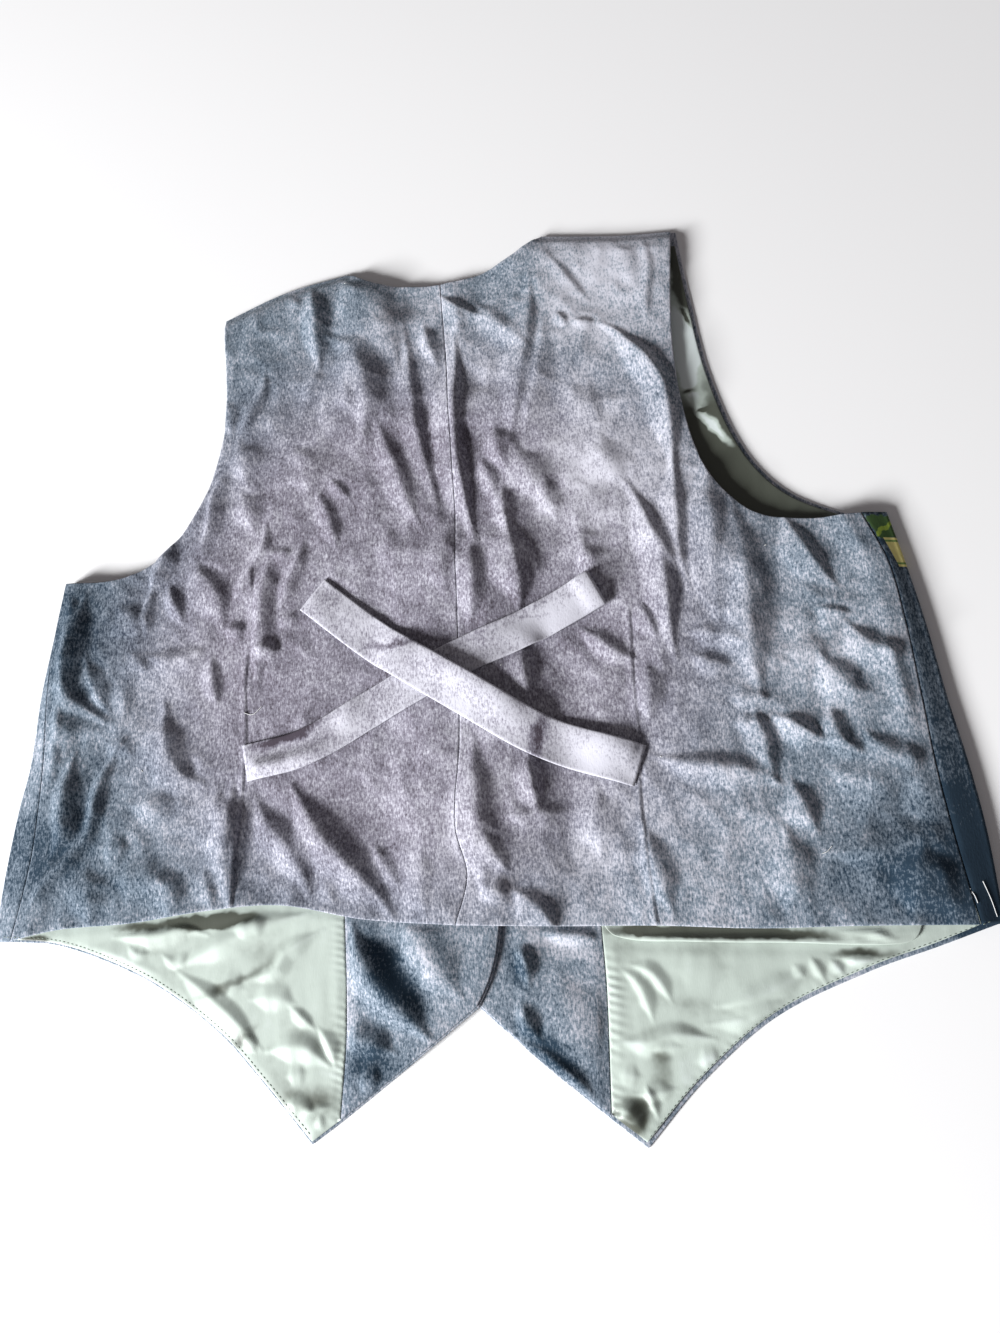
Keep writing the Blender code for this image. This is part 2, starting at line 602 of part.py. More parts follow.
def build_facings():
    seam = SEAM_GAP / 2
    left = outline(
        (LEFT_POINT_EDGE[1:], CLOSING_INSET), (LEFT_CLOSING, CLOSING_INSET), (LEFT_NECK, NECK_INSET),
        ((LEFT_NECK[-1], LEFT_FACING_SEAM[0]), SHOULDER_INSET), (LEFT_FACING_SEAM, seam),
    )
    right = outline(
        (RIGHT_POINT_EDGE[:-1], CLOSING_INSET), (RIGHT_FACING_SEAM, seam),
        ((RIGHT_FACING_SEAM[-1], RIGHT_NECK[0]), SHOULDER_INSET), (RIGHT_NECK, NECK_INSET),
        (RIGHT_CLOSING, CLOSING_INSET),
    )

    def left_height(points):
        edges = (LEFT_POINT_EDGE, LEFT_CLOSING, LEFT_FACING_SEAM)
        rise = below_hem(points, LEFT_FACING_FOLDS, LEFT_FACING_REST, edges)
        return LEVEL_FACING + closing_rise(points, True) + rise

    def right_height(points):
        edges = (RIGHT_POINT_EDGE, LEFT_CLOSING, RIGHT_FACING_SEAM)
        rise = below_hem(points, RIGHT_FACING_FOLDS, RIGHT_FACING_REST, edges)
        rise = rise * smooth((points[:, 0] - 32) / 8)
        return LEVEL_FACING + closing_rise(points, False) + rise

    wall("facing_left", left, left_height, FACING_CLOTH, WOOL_FACING, shows_below)
    wall("facing_right", right, right_height, FACING_CLOTH, WOOL_FACING, shows_below)


def build_linings():
    seam = SEAM_GAP / 2
    turn = TURN_RADIUS + FRONT_CLOTH / 2 + SIDE_INSET
    left_side = side_run(LEFT_SIDE, "fold", -1, turn, False)
    right_side = side_run(RIGHT_SIDE, "fold", 1, turn, True)
    left = outline(
        ((tuple(left_side[-1]),) + LEFT_HEM[1:], LEFT_HEM_INSET), (LEFT_POINT_EDGE[:2], LEFT_HEM_INSET),
        (LEFT_FACING_SEAM[::-1], seam), ((LEFT_FACING_SEAM[0], LEFT_ARM[0]), SHOULDER_INSET),
        (LEFT_ARM[:-1] + (tuple(left_side[0]),), ARM_INSET), (left_side, 0),
    )
    right = outline(
        (RIGHT_POINT_EDGE[-2:], RIGHT_HEM_INSET),
        (RIGHT_HEM[:-1] + (tuple(right_side[0]),), RIGHT_HEM_INSET),
        (right_side, 0), ((tuple(right_side[-1]),) + RIGHT_ARM[1:], RIGHT_HEM_INSET),
        ((RIGHT_ARM[-1], RIGHT_FACING_SEAM[-1]), SHOULDER_INSET), (RIGHT_FACING_SEAM[::-1], seam),
    )

    def left_height(points):
        edges = (LEFT_HEM, LEFT_POINT_EDGE, LEFT_FACING_SEAM)
        rise = below_hem(points, LEFT_LINING_FOLDS, LEFT_LINING_REST, edges)
        return LEVEL_FACING + closing_rise(points, True) + rise

    def right_height(points):
        edges = (RIGHT_HEM, RIGHT_POINT_EDGE, RIGHT_FACING_SEAM, LINING_HEM_RIGHT)
        rise = below_hem(points, RIGHT_LINING_FOLDS, RIGHT_LINING_REST, edges)
        below = smooth((np.interp(points[:, 0], (92, 250, 300), (-12, -22, -16)) - points[:, 1]) / 10)
        return LEVEL_FACING + closing_rise(points, False) + rise * below

    wall("lining_left", left, left_height, LINING_CLOTH, SATIN, shows_below)
    wall("lining_right", right, right_height, LINING_CLOTH, SATIN, shows_below)


def tree_of(objects):
    """One search tree over the triangles of several objects, in plan millimetres."""
    corners, faces = [], []
    for made in objects:
        first = len(corners)
        corners += [v.co.copy() for v in made.data.vertices]
        made.data.calc_loop_triangles()
        faces += [tuple(first + k for k in t.vertices) for t in made.data.loop_triangles]
    return BVHTree.FromPolygons(corners, faces)


def height_below(tree, spot):
    start = Vector(place((spot[0], spot[1], 100.0)))
    hit = tree.ray_cast(start, Vector((0, 0, -1)))[0]
    return hit.z / MM if hit else -math.inf


def build_tie(tie, carriers):
    """A flat tie in sections from its root, resting on the highest cloth near each spot."""
    middle = curve(tie.path, TIE_STEP)
    run = np.gradient(middle, axis=0)
    run /= np.linalg.norm(run, axis=1)[:, None]
    across = np.stack([-run[:, 1], run[:, 0]], axis=1)
    tree = tree_of(carriers)
    turns = [(math.cos(a), math.sin(a)) for a in np.linspace(0, 2 * math.pi, 8, endpoint=False)]
    columns = (-1.0, 0.0, 1.0)
    heights = np.zeros((len(middle), len(columns)))
    for i, spot in enumerate(middle):
        reach = min(TIE_REACH, 4.0 + i * TIE_STEP)
        for j, column in enumerate(columns):
            here = spot + across[i] * column * tie.width / 2
            near = [here] + [here + np.array(t) * r for t in turns for r in (reach / 2, reach)]
            heights[i, j] = max(height_below(tree, place_near) for place_near in near)
    softened = heights.copy()
    softened[1:-1] = (heights[:-2] + 2 * heights[1:-1] + heights[2:]) / 4
    under = np.maximum(softened, heights - 0.3) + TIE_CLEAR
    shape = bmesh.new()
    rings = []
    for i, spot in enumerate(middle):
        here = [spot + across[i] * column * tie.width / 2 for column in columns]
        low = [shape.verts.new(place((*h, z))) for h, z in zip(here, under[i])]
        high = [shape.verts.new(place((*h, z + TIE_CLOTH))) for h, z in zip(here, under[i])]
        rings.append(low + high[::-1])
    for ring, other in zip(rings[:-1], rings[1:]):
        for k in range(len(ring)):
            after = (k + 1) % len(ring)
            shape.faces.new((ring[k], ring[after], other[after], other[k]))
    shape.faces.new(rings[0])
    shape.faces.new(rings[-1][::-1])
    bmesh.ops.triangulate(shape, faces=shape.faces)
    return finish(tie.name, shape, WOOL)


def build_button(number, y):
    """A plain disc with a softened rim, its outer face on the surface below."""
    rings = ((0.80, 0.0), (1.0, 0.25), (1.0, 0.80), (0.88, 1.0))
    shape = bmesh.new()
    rows = []
    for share, level in rings:
        row = []
        for k in range(BUTTON_SIDES):
            angle = 2 * math.pi * k / BUTTON_SIDES
            x = OVERLAP_X + BUTTON_RADIUS * share * math.cos(angle)
            z = BUTTON_FLOOR + BUTTON_THICK * level
            row.append(shape.verts.new(place((x, y + BUTTON_RADIUS * share * math.sin(angle), z))))
        rows.append(row)
    for row, above in zip(rows[:-1], rows[1:]):
        for k in range(BUTTON_SIDES):
            after = (k + 1) % BUTTON_SIDES
            shape.faces.new((row[k], row[after], above[after], above[k]))
    shape.faces.new(rows[0][::-1])
    shape.faces.new(rows[-1])
    finish(f"button_{number}", shape, HORN)


def main():
    for old in list(bpy.data.objects):
        bpy.data.objects.remove(old, do_unlink=True)
    carriers = build_back()
    build_back_lining()
    build_fronts()
    build_facings()
    build_linings()
    for tie in TIES:
        carriers.append(build_tie(tie, carriers))
    for number, y in enumerate(BUTTON_Y, start=1):
        build_button(number, y)


main()
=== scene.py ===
"""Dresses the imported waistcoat: fine cloth over each solid, sewing, nap and lint, and a stage.

The waistcoat lies face down. Plan sizes are millimetres from the middle of the back hem, with
+X to the right, +Y to the neck and +Z up, as in the part's own tables. Each cloth is a closed
sheet with a plan outline, an underside height and a thickness, and the folds are short tables
of soft ridges and troughs.
"""

import math
from collections import namedtuple

import bmesh
import bpy
import numpy as np
from mathutils import Matrix, Vector, noise
from mathutils.bvhtree import BVHTree
from mathutils.geometry import delaunay_2d_cdt


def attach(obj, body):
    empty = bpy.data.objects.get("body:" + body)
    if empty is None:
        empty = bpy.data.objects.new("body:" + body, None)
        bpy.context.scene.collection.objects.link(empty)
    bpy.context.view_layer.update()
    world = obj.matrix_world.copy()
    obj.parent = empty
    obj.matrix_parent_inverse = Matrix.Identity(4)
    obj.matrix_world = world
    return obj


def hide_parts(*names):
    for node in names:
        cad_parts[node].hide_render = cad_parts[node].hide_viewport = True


bl_info = {
    "name": "Lined Waistcoat",
    "version": (1, 0, 0),
    "blender": (4, 5, 0),
    "location": "3D View > Sidebar > Waistcoat",
    "description": "Builds a lined wool waistcoat laid face down, with its ties crossed over the back",
    "category": "Add Mesh",
}

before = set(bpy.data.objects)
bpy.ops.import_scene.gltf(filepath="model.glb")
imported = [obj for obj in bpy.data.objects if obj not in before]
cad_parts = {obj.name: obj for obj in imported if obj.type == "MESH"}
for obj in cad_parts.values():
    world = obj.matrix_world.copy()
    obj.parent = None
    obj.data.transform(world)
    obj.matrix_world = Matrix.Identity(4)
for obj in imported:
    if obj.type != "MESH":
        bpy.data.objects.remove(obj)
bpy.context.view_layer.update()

MM = 0.001
PLAN_CENTRE_Y = 179.5

# Cloth thickness and the height of each layer's underside, millimetres
BACK_CLOTH = 1.5
FRONT_CLOTH = 1.2
FACING_CLOTH = 1.0
LINING_CLOTH = 1.0
TIE_CLOTH = 1.8
SEAM_GAP = 0.3
LAYER_GAP = 0.4
LEVEL_FRONT = 0.0
LEVEL_FACING = LEVEL_FRONT + FRONT_CLOTH + LAYER_GAP
LEVEL_BACK_LINING = LEVEL_FACING + FACING_CLOTH + LAYER_GAP
LEVEL_BACK = LEVEL_BACK_LINING + LINING_CLOTH + LAYER_GAP

# The closing: the left front lies above the right one, with the buttons under both. A slope is
# given by where it starts and how long it is.
OVERLAP_RISE = LEVEL_BACK_LINING
OVERLAP_X = 11.5
OVERLAP_TOP = (237.0, 45.0)
OVERLAP_RAMP = (-52.0, 34.0)
OVERLAP_FALL = (34.0, 42.0)
BUTTON_RADIUS = 7.5
BUTTON_THICK = 2.0
BUTTON_FLOOR = 0.1
BUTTON_RIM, BUTTON_WELL, BUTTON_WELL_SLOPE, BUTTON_BEVEL = 0.0016, 0.0005, 0.0006, 0.0003  # metres
BUTTON_Y = (205.0, 140.0, 75.0, 10.0)
BUTTON_RISE = BUTTON_FLOOR + BUTTON_THICK + SEAM_GAP
BUTTON_BAND = (12.0, 48.0)
BUTTON_SPAN_LOW, BUTTON_SPAN_HIGH = (-68.0, 48.0), (222.0, 50.0)
NECK_SINK, NECK_SINK_SIDES = (240.0, 30.0), (0.0, 45.0)

# The fronts turn up at the sides round this radius
TURN_RADIUS = (LEVEL_BACK - LEVEL_FRONT) / 2
TURN_STEPS = 12

SIDE_LIFT = 3.6  # how far the side seams stand up, so that the strips outside them slope
SIDE_LIFT_REACH = 15.0
SIDE_LIFT_POWER = 1.3
SIDE_BOW = 0.5  # how far the turned-up strips bulge between fold and seam
SIDE_SHARES = (0.15, 0.3, 0.45, 0.6, 0.75)  # rows of points across such a strip

HIDDEN_STEP = 10.0  # spacing of a sheet's points where it is flat or out of sight
LINE_ROWS = (-4.2, -2.8, -1.6, -0.7, 0.0, 0.7, 1.6, 2.8, 4.2)  # rows of points beside a sewn line
RIM = 0.7  # how far in from its edge a sheet of cloth is rounded
RIM_SHARE = 0.3  # and the share of its thickness that it keeps at the very edge
EDGE_REACH = 1.2  # how far in from its edge the wool is painted paler: a painted highlight along its rim

# Where a sheet's points stand close together, because it bends or shows there
CLOSING_DETAIL = (72.0, 290.0)  # within this distance of the closing, and below this y
HEM_DETAIL = 15.0  # from this far above the back's hem
LINING_DETAIL = (70.0, 12.0)  # the back lining right of this x and below this y
ARMHOLE_DETAIL = (155.0, 240.0)  # the right front lining right of this x and above this y

# Colour marks. Widths and heights are measured from the middle of a mark to its edge.
COOL_CENTRE = (-0.02, 0.02, 0.0)  # the wool looks bluer away from this place, in model metres
# Patches where the wool is painted paler or darker across the back: painted light and painted shade, as over
# the dark lower right corner. Plan x and y, reach, and how much paler it looks
WOOL_PAINTED_LIGHT_AND_SHADE = (
    (130, 450, 120, 0.42),
    (-15, 425, 60, 0.24),
    (110, 290, 100, 0.42),
    (-230, 110, 60, -0.22),
    (85, 40, 60, 0.10),
    (150, 60, 100, 0.14),
    (20, 50, 130, 0.12),
    (235, 150, 80, 0.16),
    (-200, 110, 90, 0.12),
    (-130, 410, 85, -0.10),
    (290, 20, 85, -0.50),
    (-282, 60, 75, -0.40),
    (-215, 20, 60, -0.12),
    (-150, 150, 50, -0.10),
    (-270, 215, 85, -0.40),
    (-190, 300, 70, -0.10),
    (160, 215, 80, 0.12),
    (35, 375, 60, 0.14),
)
# Where the leaf print and the ribbon end lie: from and to, up the plan and across the flat cloth.
# The vein is a slanting band, and the ribbon has a line between two distances from each end.
LEAF_ACROSS, LEAF_UP, LEAF_VEIN = (289.0, 304.0), (226.0, 242.0), (409.0, 412.0)
RIBBON_ACROSS, RIBBON_UP, RIBBON_LINE = (291.0, 301.0), (206.0, 226.0), (1.6, 3.0)
# The right front's turned-up strip is painted darker beyond this distance: painted shade where it turns away
# from the lamp
PAINTED_SHADE_STRIP = (0.288, 0.294)  # the strip beyond this distance across, in metres, is darker
# Painted light and painted shade on the facings and the ties, where their folds face towards or away from the
# lamp: plan x and y, width, height, turn and how much
FACING_PAINTED_LIGHT_AND_SHADE = (
    (-42, -30, 56, 18, -0.95, -0.62),
    (-58, -80, 34, 30, 0.0, -0.45),
    (-74, -40, 12, 45, 0.0, 0.3),
    (-20, -18, 14, 30, 0.6, 0.3),
    (55, -77, 56, 15, -0.71, -0.55),
    (36, -28, 10, 24, 0.2, -0.5),
    (62, -13, 34, 8, -0.2, 0.35),
    (72, -55, 14, 34, 0.2, 0.25),
)
TIE_PAINTED_LIGHT_AND_SHADE = (
    (-114, 126, 36, 9, 0.30, -1.6),
    (-70, 128, 16, 9, 0.3, 0.4),
    (57, 113, 9, 22, -0.5, -0.9),
    (88, 96, 16, 12, 0.0, 0.4),
    (-40, 182, 30, 4, 0.0, -0.5),
    (58, 193, 18, 3, -0.1, -0.5),
    (68, 190, 50, 16, 0.42, 0.5),
)
# The same for the satin: painted shade under the back's hem, along its creases and in the armhole, and
# painted highlights in the armhole
SATIN_PAINTED_LIGHT_AND_SHADE = (
    (205, 290, 75, 100, 0.5, -2.4),
    (176, 440, 14, 60, 0.0, -3.2),
    (196, 395, 16, 60, 0.25, -2.4),
    (250, 252, 46, 20, 0.0, -0.5),
    (171, 382, 13, 46, 0.05, 4.4),
    (174, 345, 9, 24, 0.25, 1.6),
    (186, 318, 7, 30, 0.62, 3.4),
    (179, 332, 6, 3, 0.5, -3.0),
    (174, 405, 3, 12, 0.3, -3.0),
    (172, 348, 8, 4, 0.3, -3.0),
    (-165, 9, 44, 7, 0.04, -3.2),
    (-215, 8, 30, 5, 0.04, -1.2),
    (-290, 2, 16, 4, 0.04, -2.0),
    (160, -11, 95, 6, -0.05, -2.6),
    (112, -7, 14, 5, 0.0, -2.4),
    (237, -25, 26, 5, -0.1, -1.5),
    (100, -112, 24, 14, 0.9, -1.3),
    (-95, -100, 30, 16, 0.0, -1.0),
    (-140, -62, 22, 8, 0.7, -1.2),
    (-150, -30, 36, 6, 0.35, -1.0),
    (150, -52, 40, 9, -0.1, -0.5),
    (118, -84, 12, 22, 0.3, -1.0),
)

# Side tables: the seam between back and front, and the fold that makes the silhouette
Side = namedtuple("Side", "y seam fold")
LEFT_SIDE = (
    Side(251, -282, -286),
    Side(210, -288, -292),
    Side(170, -290, -298),
    Side(120, -289, -302),
    Side(90, -290, -308),
    Side(60, -292, -312.5),
    Side(30, -297, -316),
    Side(2, -303, -317.5),
)
RIGHT_SIDE = (
    Side(244, 270, 287),
    Side(210, 282, 293.5),
    Side(170, 287, 300),
    Side(120, 290, 306),
    Side(80, 292, 312),
    Side(40, 296, 316),
    Side(-12, 303, 317.5),
)

# Outlines of the back
BACK_HEM_LEFT = ((-303, 2), (-270, 8), (-220, 10), (-160, 16), (-115, 17), (-60, 6), (0, 0))
BACK_HEM_RIGHT = ((0, 0), (60, -3), (120, -5), (180, -9), (240, -10), (303, -12))
BACK_ARM_RIGHT = (
    (270, 244), (240, 244), (205, 252), (180, 280), (170, 310), (164, 350), (163, 395), (169, 475.5),
)
BACK_ARM_LEFT = (
    (-168.5, 454), (-163.5, 390), (-166, 345), (-181, 301), (-207, 266), (-240, 251), (-282, 251),
)
SHOULDER_RIGHT = ((169, 475.5), (131, 478.5), (76, 487.5))
SHOULDER_LEFT = ((-72, 479), (-121, 471), (-168.5, 454))
NECK_RIGHT = ((76, 487.5), (53.5, 472.5), (29, 461.5), (0, 457))
NECK_LEFT = ((0, 457), (-29, 459.5), (-51, 466), (-72, 479))
CENTRE_SEAM = ((0, 457), (6, 300), (6, 120), (2, 60), (8, 30), (0, 0))
SEAM_ROW = 9.0  # width of the strip inside the shoulder seams where the back comes down
BACK_EDGES = (
    BACK_HEM_LEFT, BACK_HEM_RIGHT, BACK_ARM_LEFT, BACK_ARM_RIGHT,
    SHOULDER_LEFT, SHOULDER_RIGHT, NECK_LEFT, NECK_RIGHT,
)
LEFT_DART = ((-138, 245), (-138, 215), (-139, 190), (-141, 165), (-140, 110), (-143, 70), (-146, 14))
RIGHT_DART = ((121, 190), (120, 145), (121, 107), (119, 76), (120, 40), (123, -2))
DARTS = (LEFT_DART, RIGHT_DART)
DART_GROOVE, DART_GROOVE_WIDTH = 0.3, 0.8
DART_RIDGE, DART_RIDGE_WIDTH, DART_RIDGE_AT = 0.6, 1.7, 2.4

# Outlines of the fronts
LEFT_HEM = (
    (-314.7, 2), (-276, -1.5), (-241, -12), (-201, -30), (-157, -60), (-127, -90), (-95, -125),
)
LEFT_POINT_EDGE = ((-95, -125), (-77, -113), (-40, -86.5), (11, -49))
LEFT_CLOSING = ((11, -49), (20, -32), (26, -10), (29, 30), (30, 120), (30, 205))
LEFT_NECK = ((30, 205), (12, 235), (-14, 265), (-40, 325), (-57, 395), (-72, 479))
LEFT_ARM = (
    (-166.5, 454), (-158, 390), (-160, 345), (-174, 301), (-201, 262), (-236, 246.5), (-282, 251),
)
RIGHT_POINT_EDGE = ((3, -42), (49, -82.5), (87, -113), (107, -128.5))
RIGHT_HEM = ((107, -128.5), (141.5, -93), (186, -59), (241, -35.5), (281, -23), (314.7, -12))
RIGHT_ARM = (
    (284, 244), (266, 246), (227, 268), (203, 302), (186, 360), (178, 420), (172.5, 475.5),
)
RIGHT_CLOSING = ((-7, 205), (-7, 120), (-7, 30), (-3, -10), (3, -42))
RIGHT_NECK = ((76, 487.5), (66, 400), (55, 330), (35, 265), (10, 235), (-7, 205))
RIGHT_SHOULDER = ((172.5, 475.5), (131, 478.5), (76, 487.5))
LEFT_FACING_SEAM = (
    (-116, 471.5), (-106, 400), (-88, 260), (-78, 120), (-74, 0), (-73, -60), (-77, -113),
)
RIGHT_FACING_SEAM = ((87, -113), (89, -40), (88, 0), (86, 120), (92, 260), (106, 400), (118, 479.5))

# Threads: a row of stitches inside each lining's hem, some lint and four loose ends
STITCH_LENGTH, STITCH_WIDTH, STITCH_HEIGHT = 1.8, 0.55, 0.4
STITCH_PITCH, STITCH_INSET = 3.1, 3.4
STITCH_ROWS = (("stitches_left", LEFT_HEM), ("stitches_right", RIGHT_HEM))
LINT = (  # plan x and y, and turn
    (209, 228, 0.4), (285, 171, 1.3), (-215, 110, 2.2), (-72, 468, 0.2), (35, 162, 1.0), (132, 96, 2.6),
)
THREAD_RADIUS = 0.22
LOOSE_THREADS = (
    ((-143, 145), (-139, 143.5), (-136, 144), (-131, 148.5)),
    ((221, 32), (224, 33), (227, 36)),
    ((300, 8), (302, 4), (303, 0)),
    ((308, 12), (311, 2), (313, -8)),
)
CLOTH_UNDER_THREADS = (
    "wool_back_left", "wool_back_right", "front_lining_left", "front_lining_right", "back_lining_satin",
    "front_wool_left", "front_wool_right", "tie_left_wool", "tie_right_wool",
)

# The back lining
LINING_HEM_LEFT = ((-296, 20), (-160, 28), (-60, 18), (40, 12), (84, 8))
LINING_HEM_RIGHT = (
    (84, 8), (96, -10), (140, -15), (200, -18), (250, -21), (268, -18), (280, 4), (297, 6),
)
LINING_SIDE_RIGHT = ((297, 6), (286, 120), (280, 200), (264, 236))
LINING_SHOULDER_RIGHT = ((164, 458), (130, 461), (82, 470))
LINING_NECK = ((82, 470), (60, 461), (30, 450), (0, 445), (-30, 448), (-60, 454), (-78, 462))
LINING_SHOULDER_LEFT = ((-78, 462), (-120, 453), (-162, 438))
LINING_SIDE_LEFT = ((-275, 244), (-284, 170), (-284, 80), (-296, 20))

# Insets of an inner layer's edge from the edge of the cloth below it
SHOULDER_INSET = 12.0
ARM_INSET = 4.0
NECK_INSET = 2.0
CLOSING_INSET = 1.2
LEFT_HEM_INSET = 1.5
RIGHT_HEM_INSET = 2.6
SIDE_INSET = 3.0

# Folds: a ridge has a positive height and a trough a negative one, with the widths to the
# left and to the right of its path. A fold narrows and fades out towards its two ends. The last
# number is the rounding of its crest and feet: 0.1 is pressed to a crisp line, 0.5 is round.
Fold = namedtuple("Fold", "path left right height round")
FOLD_TAPER = 0.38  # share of a fold's length over which it grows from each end
FOLD_END_WIDTH = 0.2  # and what it starts from there, as shares of its width and height
FOLD_END_HEIGHT = 0.15
FLOOR_SOFTNESS = 2.5  # how sharply a trough stops where the cloth meets what is below it
CRUMPLES = ((2.4, 40, 1.5), (1.4, 22, 4.5), (0.7, 12, 7.5))  # height, spacing and seed
BACK_REST = 1.6  # how far the unfolded cloth stands off the layer below, and the same at its edge
BACK_EDGE_REST = 1.2
BACK_REST_REACH = 40.0
LINING_UNDER_HEM, LINING_FADE = 1.0, 4.0  # where the back lining's folds start below the back's hem
RIGHT_FACING_START = (32.0, 8.0)  # where the right facing's folds start beside the left front
RIGHT_LINING_TOP = ((92, 250, 300), (-12, -22, -16))  # plan x and y above which that side is flat
RIGHT_LINING_FADE = 10.0
FLAT_BY_SIDE, FLAT_BY_SHOULDER = 14.0, 18.0  # how far from its seams the back's folds reach full height
UNDER_HEM = 2.0  # how far an inner layer's folds start above the back's hem
FLAT_BY_EDGE, FLAT_BY_HEM = 7.0, 8.0  # the same for an inner layer's edges and the back's hem over it
